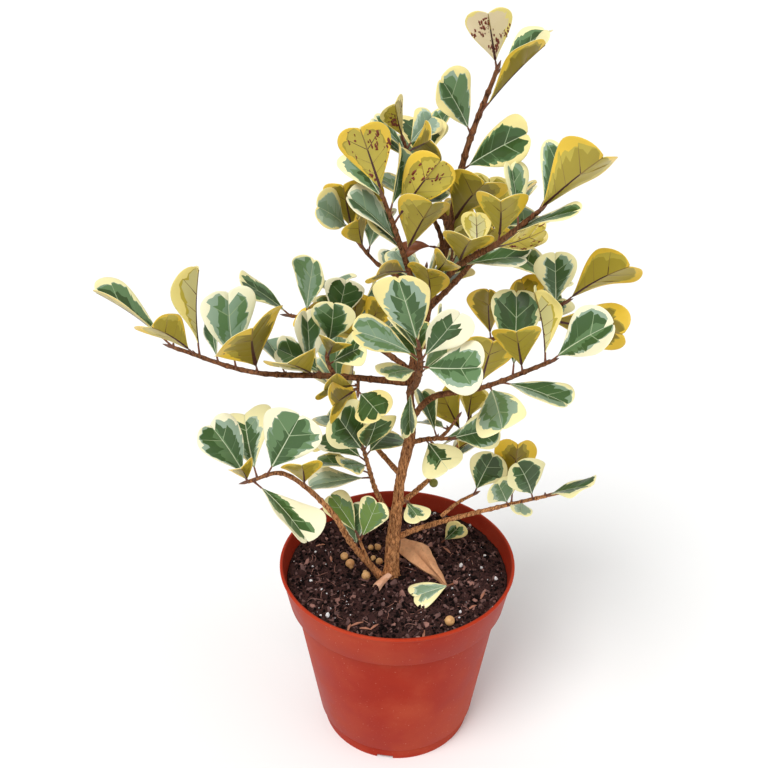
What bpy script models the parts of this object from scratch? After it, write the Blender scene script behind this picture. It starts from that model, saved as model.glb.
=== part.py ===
"""Variegated ficus with triangular leaves, in a round plastic nursery pot.

Metres, +Z up. The origin is the centre of the pot's flat underside. +X is to the right of
the view from the front, and the front looks along +Y. Sizes below are given in millimetres
and multiplied by MM.

The trunk is one tapering limb from its cut at soil level to the foot of the top shoot. Each
row of LIMBS is a limb that leaves the trunk or the soil. Its bare part is a bough, a solid of
its own, and its leafy rest is a foliage mass: one stem, with twigs and leaves placed on it by
a seeded rule and fused to it.
"""

import math
import random

import bmesh
import bpy
from mathutils import Quaternion, Vector
from mathutils.bvhtree import BVHTree

MM = 0.001
GAP = 0.3 * MM
UP = Vector((0, 0, 1))
FRONT = Vector((0, -1, 0))
AWAY = Vector((0, 1, 0))

# Pot: a tapered body under a wider collar, on a foot ring and a flat hub
RIM_RADIUS = 85 * MM
RIM_HEIGHT = 143.3 * MM
LIP_WIDTH = 2.2 * MM
LIP_HEIGHT = 2.6 * MM
COLLAR_TOP_RADIUS = 84 * MM
COLLAR_FOOT_RADIUS = 79.3 * MM
COLLAR_FOOT_HEIGHT = 115.3 * MM
BODY_TOP_RADIUS = 75.5 * MM
BODY_FOOT_RADIUS = 59.7 * MM
BODY_FOOT_HEIGHT = 11.4 * MM
FOOT_RADIUS = 56.7 * MM
FOOT_INNER_RADIUS = 53.2 * MM
HUB_RADIUS = 12 * MM
FLOOR_BOTTOM = 3 * MM
FLOOR_TOP = 5 * MM
WALL = 1.8 * MM
POT_SIDES = 40
DRAIN_RADIUS = 4.5 * MM
DRAIN_RING_RADIUS = 33 * MM
DRAINS = 6
NOTCH_SIZE = (12 * MM, 10 * MM, 5 * MM)
NOTCHES = 4
NOTCH_TURN = math.radians(-99)

# Soil
SOIL_HEIGHT = 131 * MM

# Trunk: centre line, with its radius at each knot, in mm
TRUNK = (
    ((-4, -6, 131.3), 6.4),
    ((-4, -6, 138), 5.4),
    ((-3, -5, 164), 4.9),
    ((0, -3, 192), 3.6),
    ((2, -1, 213), 3.4),
    ((7, 0, 238), 3.9),
    ((9, 0, 254), 2.6),
    ((8, 0, 284), 2.3),
    ((14, 1, 316), 2.2),
    ((22, 0, 353), 2.1),
    ((29, 0, 383), 2.1),
    ((34, 0, 420), 2.0),
)
TRUNK_SIDES = 12
ROOT_LOBES = 5
ROOT_LOBE_DEPTH = 0.16
ROOT_FLARE_HEIGHT = 16 * MM

# Leaf: a blade that widens to a notched end, folded along its midrib, on a short stalk
LEAF_WIDTH = 0.86
LEAF_FOLD = 0.26
LEAF_CURL = 0.14
LEAF_THICKNESS = 0.9 * MM
LEAF_ROWS = (0.34, 0.6, 0.74, 0.89)
LEAF_NOTCH = 0.95
STALK_LENGTH = 0.13
STALK_RADIUS = 0.8 * MM
HALF_OUTLINE = (
    ((0, 0), (0.06, 0.14), (0.38, 0.42), (0.49, 0.75)),
    ((0.49, 0.75), (0.54, 0.95), (0.3, 1.03), (0, LEAF_NOTCH)),
)
SHAPE_SPLIT = 0.62

# Growth rule
SPIRAL = 137.5
DODGES = ((0, 1), (14, 1), (-14, 1), (28, 1), (-28, 1), (0, 0.85), (20, 0.85), (-20, 0.85), (45, 0.8), (-45, 0.8))
LEAF_CLEARANCE = 0.7 * MM
FACE_TO_TIP = 0.45
LIFT = 0.45
STALK_POINTS = 8
STEM_SIDES = 6
BOUGH_SIDES = 8
STEP = 9 * MM


class Limb:
    """A limb's row.

    course is its line in mm, radii are at its root and tip, and bare is the share of it that
    is a bough. The leaves that the plant is known by are aimed: share of the course in
    percent, compass direction (0 right, 90 away, -90 to the front) and elevation in degrees,
    length in mm and, for a turned blade, roll in degrees. The others, of the given size in mm,
    spiral up the stem from a first turn, which is 0 for a leaf that points away.
    A twig has a share, a direction, an elevation, a length in mm and a count of leaves.
    """

    def __init__(self, name, course, radii, bare, size, aimed=(), spiral=0, turn=0, rise=40, twigs=(), rooted=False):
        self.name = name
        self.course = course
        self.radii = radii
        self.bare = bare
        self.size = size
        self.aimed = aimed
        self.spiral = spiral
        self.turn = turn
        self.rise = rise
        self.twigs = twigs
        self.rooted = rooted


LIMBS = (
    Limb("top", ((34, 0, 420), (40, 0, 444), (48, 0, 467), (53, 0, 481)), (2.0, 1.2), 0, 40,
         ((100, -120, 70, 33), (94, 25, 35, 40), (59, -40, 48, 56), (41, 125, 45, 42), (8, 30, 30, 45)), 1, 60),
    Limb("centre", ((8, 0, 282), (10, -36, 304), (11, -66, 330), (10, -70, 344)), (2.0, 1.4), 0.7, 46,
         ((100, 105, 45, 48), (93, 125, 8, 50), (92, 60, 14, 50), (86, 10, -8, 46, 40), (82, -140, 15, 42)), 2, -30),
    Limb("left", ((8, 0, 286), (-40, -16, 299), (-92, -20, 304), (-139, -22, 322)), (2.3, 1.2), 0.39, 48,
         ((100, 165, 32, 54, 20), (89, -110, 50, 50), (92, 65, 75, 55, -40), (74, 105, 45, 52), (65, -80, 55, 52, -35),
          (43, -110, 30, 48), (54, 95, 5, 46), (80, 70, 5, 42)), 1, 20),
    Limb("left_inner", ((-40, -18, 300), (-45, -12, 307), (-45, -6, 317)), (1.5, 1.1), 0.2, 42,
         ((100, 90, 10, 46), (96, 115, 45, 46), (60, -100, 50, 40), (60, 40, 4, 44), (80, 150, 15, 44))),
    Limb("left_low", ((-26, -11, 296), (-26, -14, 291), (-26, -17, 289)), (1.2, 0.9), 0, 42,
         ((100, -65, 2, 40), (80, -170, 5, 38, 50))),
    Limb("left_back", ((9, 0, 294), (-20, 12, 311), (-46, 20, 321), (-73, 34, 319)), (2.0, 1.1), 0.4, 44,
         ((99, 150, 25, 46), (84, 75, 58, 42), (62, 82, 36, 44), (85, -120, 37, 42), (50, 60, 20, 44)), 2, -60),
    Limb("right", ((8, 0, 258), (22, -16, 284), (52, -36, 302), (87, -54, 328)), (2.3, 1.2), 0.45, 48,
         ((100, 30, 30, 46), (96, -165, 80, 46, 30), (84, -110, 55, 48), (78, 80, 45, 52), (70, -40, 5, 46),
          (64, -90, 2, 48), (58, 70, 12, 48)), 1, -60),
    Limb("right_back", ((14, 0, 312), (52, 0, 316), (66, 0, 320), (101, -6, 344)), (2.0, 1.1), 0.42, 46,
         ((100, -30, 48, 50, -40), (95, 85, 42, 38), (82, 0, -8, 54), (52, -125, 52, 44), (55, -90, -8, 42),
          (79, 90, 12, 46)), 2, -50),
    Limb("upper_right", ((22, 0, 350), (35, -20, 375), (53, -40, 394), (73, -56, 418)), (2.2, 1.3), 0.3, 46,
         ((100, -35, 48, 52, -40), (100, 65, 30, 50), (69, -95, 46, 46), (36, -87, 40, 44), (85, 95, 50, 41),
          (75, 20, 14, 44), (67, -60, 20, 44), (34, 15, 0, 44)), 1, -80),
    Limb("crotch", ((24, 0, 358), (22, -9, 362), (21, -14, 367)), (1.4, 1.0), 0, 40, ((100, -100, 40, 40),)),
    Limb("upper_left", ((17, 0, 328), (7, -8, 362), (-1, -20, 390), (-10, -30, 418)), (2.1, 1.2), 0.38, 44,
         ((98, -130, 66, 46), (79, -35, 60, 47), (56, -30, 58, 40), (65, 135, 35, 42), (64, 115, 8, 44),
          (41, -120, 20, 44), (94, 120, 22, 46), (86, 75, 50, 40)), 1, -60),
    Limb("upper_left_side", ((7, -8, 358), (-14, -4, 370), (-31, 0, 390)), (1.3, 1.0), 0.45, 38,
         ((98, 115, 12, 38), (84, -125, 68, 36)), 1, -60),
    Limb("upper_middle", ((25, 0, 366), (25, 5, 384), (12, 10, 411), (2, 10, 440)), (1.6, 1.0), 0.25, 38,
         ((100, -105, 52, 32), (94, 65, 28, 36), (97, -70, 20, 32), (28, -35, 58, 46), (34, 90, 48, 44),
          (60, 160, 30, 38)), 2, -50),
    Limb("lower_right", ((0, -3, 163), (17, -6, 174), (55, -18, 196), (108, -28, 219)), (2.2, 1.1), 0.56, 34,
         ((84, 95, 12, 38), (69, 95, -6, 30), (91, 15, 2, 34), (77, -125, 52, 34)), 1, -40,
         twigs=((62, -15, -29, 34, 0), (69, 95, 70, 26, 3))),
    Limb("lower_right_side", ((30, -12, 188), (42, -8, 197), (53, -4, 201)), (1.3, 1.0), 0.3, 46,
         ((100, 52, 50, 46),)),
    Limb("lower_left", ((-13, -14, 131.3), (-31, -20, 169), (-46, -34, 210), (-72, -43, 243), (-95, -50, 242)),
         (2.3, 1.2), 0.68, 46,
         ((96, 115, 35, 46), (93, 60, 26, 46), (100, 165, 55, 42, 40), (74, -85, 52, 38), (98, -50, -20, 50, 50)),
         1, 0, rooted=True),
    Limb("lower_middle", ((-2, -2, 176), (-14, 0, 198), (-20, -8, 226), (-23, -16, 245)), (1.9, 1.2), 0.5, 42,
         ((94, 120, 5, 44), (97, 85, 0, 44), (89, 65, 0, 42), (78, -140, 42, 42), (80, 110, 34, 40),
          (57, -150, 12, 43)), 1, 30),
    Limb("fork_right", ((7, 0, 240), (20, -8, 248), (33, -16, 253)), (1.9, 1.1), 0.34, 38,
         ((73, 105, 35, 40), (98, 20, 0, 38), (45, -75, 0, 38)), 1, -40),
    Limb("foot", ((-17, -24, 131.3), (-23, -24, 156), (-27, -20, 176)), (1.4, 0.9), 0.5, 32,
         ((100, 120, 26, 32), (90, 65, 25, 32)), rooted=True),
    Limb("sprig", ((1, -4, 197), (5, -11, 200)), (0.9, 0.8), 0, 28, ((100, -45, -42, 28),)),
    Limb("low_back", ((2, 0, 190), (21, 20, 195), (40, 36, 206), (52, 44, 232)), (2.0, 1.1), 0.5, 44,
         ((87, -130, 60, 44), (100, 75, 0, 44)), 5, -50),
    Limb("back_low_left", ((2, 0, 214), (-22, 30, 228), (-44, 56, 252)), (2.0, 1.1), 0.45, 48, (), 8, 60),
    Limb("back_middle", ((8, 0, 296), (14, 36, 312), (20, 74, 338)), (2.0, 1.1), 0.45, 50, (), 9, 20),
    Limb("back_right", ((20, 0, 340), (46, 30, 356), (70, 56, 380)), (2.0, 1.1), 0.45, 48, (), 8, 80),
    Limb("back_upper", ((30, 0, 388), (22, 28, 408), (16, 48, 436)), (1.8, 1.1), 0.4, 44, (), 7, 140),
)


def mm(values):
    """Millimetres as a vector in metres."""
    return Vector(values) * MM


def material(name, colour, roughness, metallic=0.0):
    made = bpy.data.materials.new(name)
    made.use_nodes = True
    shader = made.node_tree.nodes["Principled BSDF"]
    shader.inputs["Base Color"].default_value = (*colour, 1)
    shader.inputs["Roughness"].default_value = roughness
    shader.inputs["Metallic"].default_value = metallic
    return made


def new_object(name, bm, finish, smooth_below=40):
    """An object from the bmesh, with round faces shaded smooth."""
    mesh = bpy.data.meshes.new(name)
    bmesh.ops.recalc_face_normals(bm, faces=bm.faces)
    bm.to_mesh(mesh)
    bm.free()
    mesh.materials.append(finish)
    mesh.shade_smooth()
    mesh.set_sharp_from_angle(angle=math.radians(smooth_below))
    made = bpy.data.objects.new(name, mesh)
    bpy.context.scene.collection.objects.link(made)
    return made


class Course:
    """A smooth line through knots, with a frame carried along it without twist."""

    FINE = 12

    def __init__(self, knots, radii):
        ends = [knots[0] * 2 - knots[1], *knots, knots[-1] * 2 - knots[-2]]
        self.points = []
        self.radii = []
        spans = len(knots) - 1
        for i in range(spans):
            for k in range(self.FINE + (i == spans - 1)):
                t = k / self.FINE
                self.points.append(catmull_rom(ends[i : i + 4], t))
                self.radii.append(radii[i] * (1 - t) + radii[i + 1] * t)
        self.tangents = []
        for i in range(len(self.points)):
            before = self.points[max(i - 1, 0)]
            after = self.points[min(i + 1, len(self.points) - 1)]
            self.tangents.append((after - before).normalized())
        first = self.tangents[0]
        rough = UP if abs(first.z) < 0.8 else FRONT
        self.normals = [(rough - first * rough.dot(first)).normalized()]
        for before, after in zip(self.tangents, self.tangents[1:]):
            turned = before.rotation_difference(after) @ self.normals[-1]
            self.normals.append((turned - after * turned.dot(after)).normalized())
        self.reach = [0.0]
        for a, b in zip(self.points, self.points[1:]):
            self.reach.append(self.reach[-1] + (b - a).length)
        self.length = self.reach[-1]

    def at(self, distance):
        """Point, tangent, normal and radius at a distance along the line."""
        distance = min(max(distance, 0), self.length)
        i = 0
        while i < len(self.reach) - 2 and self.reach[i + 1] < distance:
            i += 1
        t = (distance - self.reach[i]) / (self.reach[i + 1] - self.reach[i])
        point = self.points[i].lerp(self.points[i + 1], t)
        tangent = self.tangents[i].lerp(self.tangents[i + 1], t).normalized()
        normal = self.normals[i].lerp(self.normals[i + 1], t)
        normal = (normal - tangent * normal.dot(tangent)).normalized()
        radius = self.radii[i] * (1 - t) + self.radii[i + 1] * t
        return point, tangent, normal, radius


def catmull_rom(four, t):
    a, b, c, d = four
    return (b * 2 + (c - a) * t + (a * 2 - b * 5 + c * 4 - d) * t**2 + (b * 3 - a - c * 3 + d) * t**3) / 2


def ring(point, tangent, normal, radius, sides):
    across = tangent.cross(normal)
    points = []
    for k in range(sides):
        angle = math.tau * k / sides
        points.append(point + (normal * math.cos(angle) + across * math.sin(angle)) * radius)
    return points


def tube(bm, rings):
    """Closed tube over rings of points that have the same count."""
    loops = [[bm.verts.new(p) for p in points] for points in rings]
    sides = len(loops[0])
    for low, high in zip(loops, loops[1:]):
        for k in range(sides):
            bm.faces.new((low[k], low[(k + 1) % sides], high[(k + 1) % sides], high[k]))
    bm.faces.new(list(reversed(loops[0])))
    bm.faces.new(loops[-1])


def limb_rings(course, start, end, sides, step=STEP, level_foot=False):
    """Rings along a course from one distance to another."""
    count = max(2, round((end - start) / step))
    rings = []
    for k in range(count + 1):
        point, tangent, normal, radius = course.at(start + (end - start) * k / count)
        if level_foot and k == 0:
            tangent = UP
            normal = FRONT
        rings.append(ring(point, tangent, normal, radius, sides))
    return rings


def turned(profile, sides):
    """Bmesh of a closed profile of (radius, height) spun about Z. Its ends lie on the axis."""
    bm = bmesh.new()
    verts = [bm.verts.new((radius, 0, height)) for radius, height in profile]
    edges = [bm.edges.new(pair) for pair in zip(verts, verts[1:])]
    bmesh.ops.spin(
        bm, geom=verts + edges, cent=(0, 0, 0), axis=(0, 0, 1), angle=math.tau, steps=sides, use_duplicate=False
    )
    bmesh.ops.remove_doubles(bm, verts=bm.verts, dist=0.01 * MM)
    return bm


def slope(height, low, high):
    """Radius at a height on the straight line between two (radius, height) points."""
    share = (height - low[1]) / (high[1] - low[1])
    return low[0] + (high[0] - low[0]) * share


def cutter(name, bm):
    made = new_object(name, bm, bpy.data.materials[0])
    made.hide_render = True
    made.display_type = "WIRE"
    return made


def cut(target, tool):
    change = target.modifiers.new(tool.name, "BOOLEAN")
    change.operation = "DIFFERENCE"
    change.solver = "EXACT"
    change.object = tool


def make_pot(finish):
    lip_foot = RIM_HEIGHT - LIP_HEIGHT
    outside = (
        (0, 0),
        (HUB_RADIUS, 0),
        (HUB_RADIUS + 1 * MM, FLOOR_BOTTOM),
        (FOOT_INNER_RADIUS - 1 * MM, FLOOR_BOTTOM),
        (FOOT_INNER_RADIUS, 0),
        (FOOT_RADIUS, 0),
        (FOOT_RADIUS + 0.6 * MM, BODY_FOOT_HEIGHT - 1.2 * MM),
        (BODY_FOOT_RADIUS, BODY_FOOT_HEIGHT),
        (BODY_TOP_RADIUS, COLLAR_FOOT_HEIGHT + 0.6 * MM),
        (COLLAR_FOOT_RADIUS, COLLAR_FOOT_HEIGHT),
        (COLLAR_TOP_RADIUS, lip_foot),
        (RIM_RADIUS, lip_foot + 0.5 * MM),
        (RIM_RADIUS, RIM_HEIGHT - 0.5 * MM),
        (RIM_RADIUS - 0.5 * MM, RIM_HEIGHT),
        (RIM_RADIUS - LIP_WIDTH, RIM_HEIGHT),
    )
    pot = new_object("pot", turned(outside + inner_wall(0), POT_SIDES), finish)
    for k in range(DRAINS):
        angle = math.tau * (k + 0.5) / DRAINS
        bm = bmesh.new()
        bmesh.ops.create_cone(
            bm, cap_ends=True, segments=12, radius1=DRAIN_RADIUS, radius2=DRAIN_RADIUS, depth=3 * FLOOR_TOP
        )
        hole = cutter(f"drain_cutter_{k + 1}", bm)
        hole.location = (DRAIN_RING_RADIUS * math.cos(angle), DRAIN_RING_RADIUS * math.sin(angle), 0)
        cut(pot, hole)
    for k in range(NOTCHES):
        angle = NOTCH_TURN + math.tau * k / NOTCHES
        bm = bmesh.new()
        bmesh.ops.create_cube(bm, size=1)
        bmesh.ops.scale(bm, vec=(NOTCH_SIZE[1], NOTCH_SIZE[0], NOTCH_SIZE[2]), verts=bm.verts)
        notch = cutter(f"notch_cutter_{k + 1}", bm)
        middle = (FOOT_RADIUS + FOOT_INNER_RADIUS) / 2
        notch.location = (middle * math.cos(angle), middle * math.sin(angle), 0)
        notch.rotation_euler = (0, 0, angle)
        cut(pot, notch)
    return pot


def inner_wall(inset):
    """The pot's inside from rim to floor, drawn in by an inset, as (radius, height)."""
    step_height = COLLAR_FOOT_HEIGHT + 2 * WALL
    floor_radius = slope(FLOOR_TOP, (BODY_FOOT_RADIUS, BODY_FOOT_HEIGHT), (BODY_TOP_RADIUS, COLLAR_FOOT_HEIGHT))
    floor_radius = min(floor_radius, FOOT_RADIUS) - WALL
    collar = ((COLLAR_FOOT_RADIUS, COLLAR_FOOT_HEIGHT), (COLLAR_TOP_RADIUS, RIM_HEIGHT - LIP_HEIGHT))
    return (
        (slope(step_height, *collar) - WALL - inset, step_height - inset / 2),
        (BODY_TOP_RADIUS - WALL - inset, COLLAR_FOOT_HEIGHT - inset / 2),
        (floor_radius - inset, FLOOR_TOP + inset),
        (0, FLOOR_TOP + inset),
    )


def make_soil(finish):
    collar = ((COLLAR_FOOT_RADIUS, COLLAR_FOOT_HEIGHT), (COLLAR_TOP_RADIUS, RIM_HEIGHT - LIP_HEIGHT))
    top_radius = slope(SOIL_HEIGHT, *collar) - WALL - GAP
    profile = ((0, SOIL_HEIGHT), (top_radius, SOIL_HEIGHT)) + inner_wall(GAP)
    return new_object("soil", turned(profile, POT_SIDES), finish)


def make_trunk(course, finish):
    """The trunk, level at the soil and lobed by its root flare."""
    rings = limb_rings(course, 0, course.length, TRUNK_SIDES, level_foot=True)
    centre = course.points[0]
    for points in rings:
        share = max(0, 1 - (points[0].z - centre.z) / ROOT_FLARE_HEIGHT)
        if share > 0:
            middle = sum(points, Vector()) / len(points)
            for k, point in enumerate(points):
                lobe = ROOT_LOBE_DEPTH * share * math.cos(math.tau * ROOT_LOBES * k / TRUNK_SIDES)
                points[k] = middle + (point - middle) * (1 + lobe)
    bm = bmesh.new()
    tube(bm, rings)
    return new_object("trunk", bm, finish)


def bezier(four, t):
    weights = ((1 - t) ** 3, 3 * t * (1 - t) ** 2, 3 * t**2 * (1 - t), t**3)
    return [sum(w * p[axis] for w, p in zip(weights, four)) for axis in (0, 1)]


def leaf_edge(share):
    """Half width and height on the leaf's outline, from its base at 0 to its notch at 1."""
    if share < SHAPE_SPLIT:
        return bezier(HALF_OUTLINE[0], share / SHAPE_SPLIT)
    return bezier(HALF_OUTLINE[1], (share - SHAPE_SPLIT) / (1 - SHAPE_SPLIT))


class Leaf:
    """A leaf's place: its root on the stem, its direction, its upper side and its length."""

    def __init__(self, root, along, face, length):
        self.root = root
        self.along = along
        self.face = (face - along * face.dot(along)).normalized()
        self.side = self.along.cross(self.face)
        self.length = length

    def place(self, x, y, z):
        return self.root + self.side * x + self.along * y + self.face * z

    def point(self, width, height, raised=0.0):
        """A point of the blade, whose fold lifts its edges and whose curl drops its end."""
        stalk = STALK_LENGTH * self.length
        blade = self.length - stalk
        x = width * LEAF_WIDTH * blade
        z = LEAF_FOLD * abs(x) - LEAF_CURL * blade * height**2 + raised
        return self.place(x, stalk + height * blade, z)


def leaf_solid(leaf, grow=0.0, half=LEAF_THICKNESS / 2):
    """Corner points and faces of a leaf: sharp at its edges, or grown and blunt for a test."""
    points = []
    faces = []
    root = STALK_RADIUS + grow
    rows = [[leaf.place(-root, 0, 0), leaf.place(0, 0, root), leaf.place(root, 0, 0), leaf.place(0, 0, -root)]]
    foot = [leaf.point(0, 0), leaf.point(0, 0, root), leaf.point(0, 0), leaf.point(0, 0, -root)]
    foot[0] = foot[0] - leaf.side * root
    foot[2] = foot[2] + leaf.side * root
    rows.append(foot)
    for share in LEAF_ROWS:
        width, height = leaf_edge(share)
        out = leaf.side * grow
        middle = LEAF_NOTCH * share
        rows.append(
            [
                leaf.point(-width, height) - out,
                leaf.point(0, middle, half + grow),
                leaf.point(width, height) + out,
                leaf.point(0, middle, -half - grow),
            ]
        )
    for row in rows:
        points.extend(row)
    for r in range(len(rows) - 1):
        for k in range(4):
            a, b = 4 * r + k, 4 * r + (k + 1) % 4
            c, d = b + 4, a + 4
            faces.extend(((a, b, c), (a, c, d)))
    faces.append((3, 2, 1, 0))
    last = 4 * (len(rows) - 1)
    notch = len(points)
    points.append(leaf.point(0, LEAF_NOTCH) + leaf.along * grow)
    for k in range(4):
        faces.append((last + k, last + (k + 1) % 4, notch))
    return points, faces


def tree_of(points, faces):
    return BVHTree.FromPolygons(points, faces, all_triangles=False)


def tree_of_objects(objects):
    points = []
    faces = []
    for item in objects:
        start = len(points)
        points.extend(item.matrix_world @ v.co for v in item.data.vertices)
        faces.extend([start + i for i in polygon.vertices] for polygon in item.data.polygons)
    return tree_of(points, faces)


def clear_start(course, tree, sides):
    """The distance at which a flat end first stands the gap clear of the solids in the tree."""
    distance = 0.0
    while distance < course.length:
        point, tangent, normal, radius = course.at(distance)
        corners = [point, *ring(point, tangent, normal, radius, sides)]
        if all(outside(tree, corner) for corner in corners):
            return distance
        distance += 0.1 * MM
    return 0.0


def outside(tree, point):
    place, normal, _, distance = tree.find_nearest(point)
    return distance > GAP and (point - place).dot(normal) > 0


def aim(compass, elevation):
    """Unit vector of a compass direction and an elevation in degrees."""
    compass = math.radians(compass)
    elevation = math.radians(elevation)
    level = math.cos(elevation)
    return Vector((level * math.cos(compass), level * math.sin(compass), math.sin(elevation)))


class Plan:
    """Where a leaf would stand: the point and tangent of its stem, its direction and length."""

    def __init__(self, point, tangent, along, length, roll):
        self.point = point
        self.tangent = tangent
        self.along = along
        self.length = length
        self.roll = roll

    def leaf(self, turn, scale):
        """The leaf, turned about its stem and scaled. Its upper side looks up and to the tip."""
        along = Quaternion(self.tangent, math.radians(turn)) @ self.along
        face = Quaternion(along, self.roll) @ (UP + self.tangent * FACE_TO_TIP)
        return Leaf(self.point, along, face, self.length * scale)


def aimed_plans(row, course, rng):
    plans = []
    for share, compass, elevation, length, *roll in row.aimed:
        point, tangent, _, _ = course.at(course.length * share / 100)
        turned_by = math.radians(sum(roll)) + rng.uniform(-0.12, 0.12)
        plans.append(Plan(point, tangent, aim(compass, elevation), length * MM, turned_by))
    return plans


def spiral_plans(course, start, count, size, turn, rise, rng):
    """Leaves spiralling up a stem: large and spread at first, smaller and upright at its tip."""
    plans = []
    for k in range(count):
        share = (k + 0.7) / count
        point, tangent, _, _ = course.at(start + (course.length - start) * share)
        around = Quaternion(tangent, math.radians(turn + SPIRAL * k + rng.uniform(-12, 12)))
        climb = math.radians(rise + 22 * share + rng.uniform(-8, 8))
        radial = around @ (AWAY - tangent * AWAY.dot(tangent)).normalized()
        along = radial * math.cos(climb) + tangent * math.sin(climb) + UP * LIFT
        length = size * MM * (1 - 0.2 * share**3) * rng.uniform(0.88, 1.04)
        plans.append(Plan(point, tangent, along.normalized(), length, rng.uniform(-0.3, 0.3)))
    return plans


def join(name, pieces, finish):
    """Union of closed bmeshes, kept as its one outer body."""
    objects = [new_object(f"{name}_part", bm, finish) for bm in pieces]
    stem = objects[0]
    holder = bpy.data.collections.new(f"{name}_leaves")
    bpy.context.scene.collection.children.link(holder)
    for item in objects[1:]:
        bpy.context.scene.collection.objects.unlink(item)
        holder.objects.link(item)
    union = stem.modifiers.new("union", "BOOLEAN")
    union.operation = "UNION"
    union.solver = "EXACT"
    union.operand_type = "COLLECTION"
    union.collection = holder
    joined = stem.evaluated_get(bpy.context.evaluated_depsgraph_get())
    bm = bmesh.new()
    bm.from_mesh(joined.to_mesh())
    joined.to_mesh_clear()
    for item in objects:
        bpy.data.objects.remove(item)
    bpy.data.collections.remove(holder)
    keep_largest(bm)
    bmesh.ops.triangulate(bm, faces=bm.faces)
    return new_object(name, bm, finish)


def keep_largest(bm):
    """Delete every island of faces but the one with most faces, such as a sealed hollow."""
    left = set(bm.faces)
    islands = []
    while left:
        edge = [left.pop()]
        island = set(edge)
        while edge:
            face = edge.pop()
            for link in face.edges:
                for other in link.link_faces:
                    if other in left:
                        left.discard(other)
                        island.add(other)
                        edge.append(other)
        islands.append(island)
    islands.sort(key=len)
    loose = [face for island in islands[:-1] for face in island]
    bmesh.ops.delete(bm, geom=loose, context="FACES")


def grow(row, course, start, others, finish):
    """A foliage mass: the leafy part of a limb, with its twigs and leaves."""
    rng = random.Random(row.name)
    pieces = [bmesh.new()]
    tube(pieces[0], limb_rings(course, start, course.length, STEM_SIDES))
    plans = aimed_plans(row, course, rng)
    for share, compass, elevation, length, count in row.twigs:
        twig = side_twig(course, course.length * share / 100, aim(compass, elevation), length * MM)
        pieces.append(bmesh.new())
        tube(pieces[-1], limb_rings(twig, 0, twig.length, STEM_SIDES))
        plans.extend(spiral_plans(twig, twig.length / 3, count, row.size, row.turn, row.rise, rng))
    plans.extend(spiral_plans(course, start, row.spiral, row.size, row.turn, row.rise, rng))
    blades = []
    for plan in plans:
        for turn, scale in DODGES:
            leaf = plan.leaf(turn, scale)
            test = tree_of(*leaf_solid(leaf, LEAF_CLEARANCE))
            if others.overlap(test) or any(blade.overlap(test) for blade in blades):
                continue
            points, faces = leaf_solid(leaf)
            pieces.append(bmesh.new())
            verts = [pieces[-1].verts.new(p) for p in points]
            for face in faces:
                pieces[-1].faces.new([verts[i] for i in face])
            blades.append(tree_of(points, [face for face in faces if min(face) >= STALK_POINTS]))
            break
    print(f"{row.name}: {len(blades)} of {len(plans)} leaves")
    return join(f"foliage_{row.name}", pieces, finish)


def side_twig(course, distance, along, length):
    """Course of a twig from inside its stem, rising a little towards its tip."""
    root, _, _, radius = course.at(distance)
    knots = [root, root + along * length * 0.5, root + along * length + UP * length * 0.08]
    return Course(knots, [radius * 0.75, radius * 0.65, radius * 0.5])


def main():
    for item in list(bpy.data.objects):
        bpy.data.objects.remove(item)
    plastic = material("terracotta_plastic", (0.42, 0.09, 0.05), 0.5)
    earth = material("potting_soil", (0.03, 0.018, 0.014), 0.95)
    bark = material("bark", (0.20, 0.10, 0.06), 0.8)
    leaf = material("ficus_leaf", (0.12, 0.20, 0.06), 0.45)

    pot = make_pot(plastic)
    soil = make_soil(earth)
    trunk_course = Course([mm(p) for p, _ in TRUNK], [r * MM for _, r in TRUNK])
    trunk = make_trunk(trunk_course, bark)
    solids = [pot, soil, trunk]
    carriers = [trunk]
    rest = []
    for row in LIMBS:
        last = len(row.course) - 1
        radii = [(row.radii[0] + (row.radii[1] - row.radii[0]) * k / last) * MM for k in range(last + 1)]
        course = Course([mm(p) for p in row.course], radii)
        start = 0 if row.rooted else clear_start(course, tree_of_objects(carriers), BOUGH_SIDES)
        bare = course.length * row.bare
        if bare > start:
            bm = bmesh.new()
            tube(bm, limb_rings(course, start, bare, BOUGH_SIDES, level_foot=row.rooted))
            carriers.append(new_object(f"bough_{row.name}", bm, bark))
            solids.append(carriers[-1])
            start = bare + GAP
        rest.append((row, course, start))
    stems = {}
    for row, course, start in rest:
        bm = bmesh.new()
        tube(bm, limb_rings(course, start, course.length, STEM_SIDES))
        stems[row.name] = new_object(f"stem_{row.name}", bm, leaf)
    for row, course, start in rest:
        bpy.data.objects.remove(stems.pop(row.name))
        solids.append(grow(row, course, start, tree_of_objects(solids + list(stems.values())), leaf))
    print(f"{len(solids)} solids, {sum(len(s.data.polygons) for s in solids)} faces")


main()
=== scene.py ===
# %% [markdown]
# # A variegated ficus in its nursery pot
#
# The plant is a small shrub about half a metre high. Its leaves are triangular, with a notch
# at the wide end, and green with cream edges above and olive with golden edges below. The
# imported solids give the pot, the soil, the limbs and the place of each leaf. This script
# grows finer limbs and leaves in the same places, and finishes the pot and the soil.

import math
import random

import bmesh
import bpy
import numpy as np
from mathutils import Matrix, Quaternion, Vector, noise
from mathutils.bvhtree import BVHTree
from mathutils.kdtree import KDTree


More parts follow.
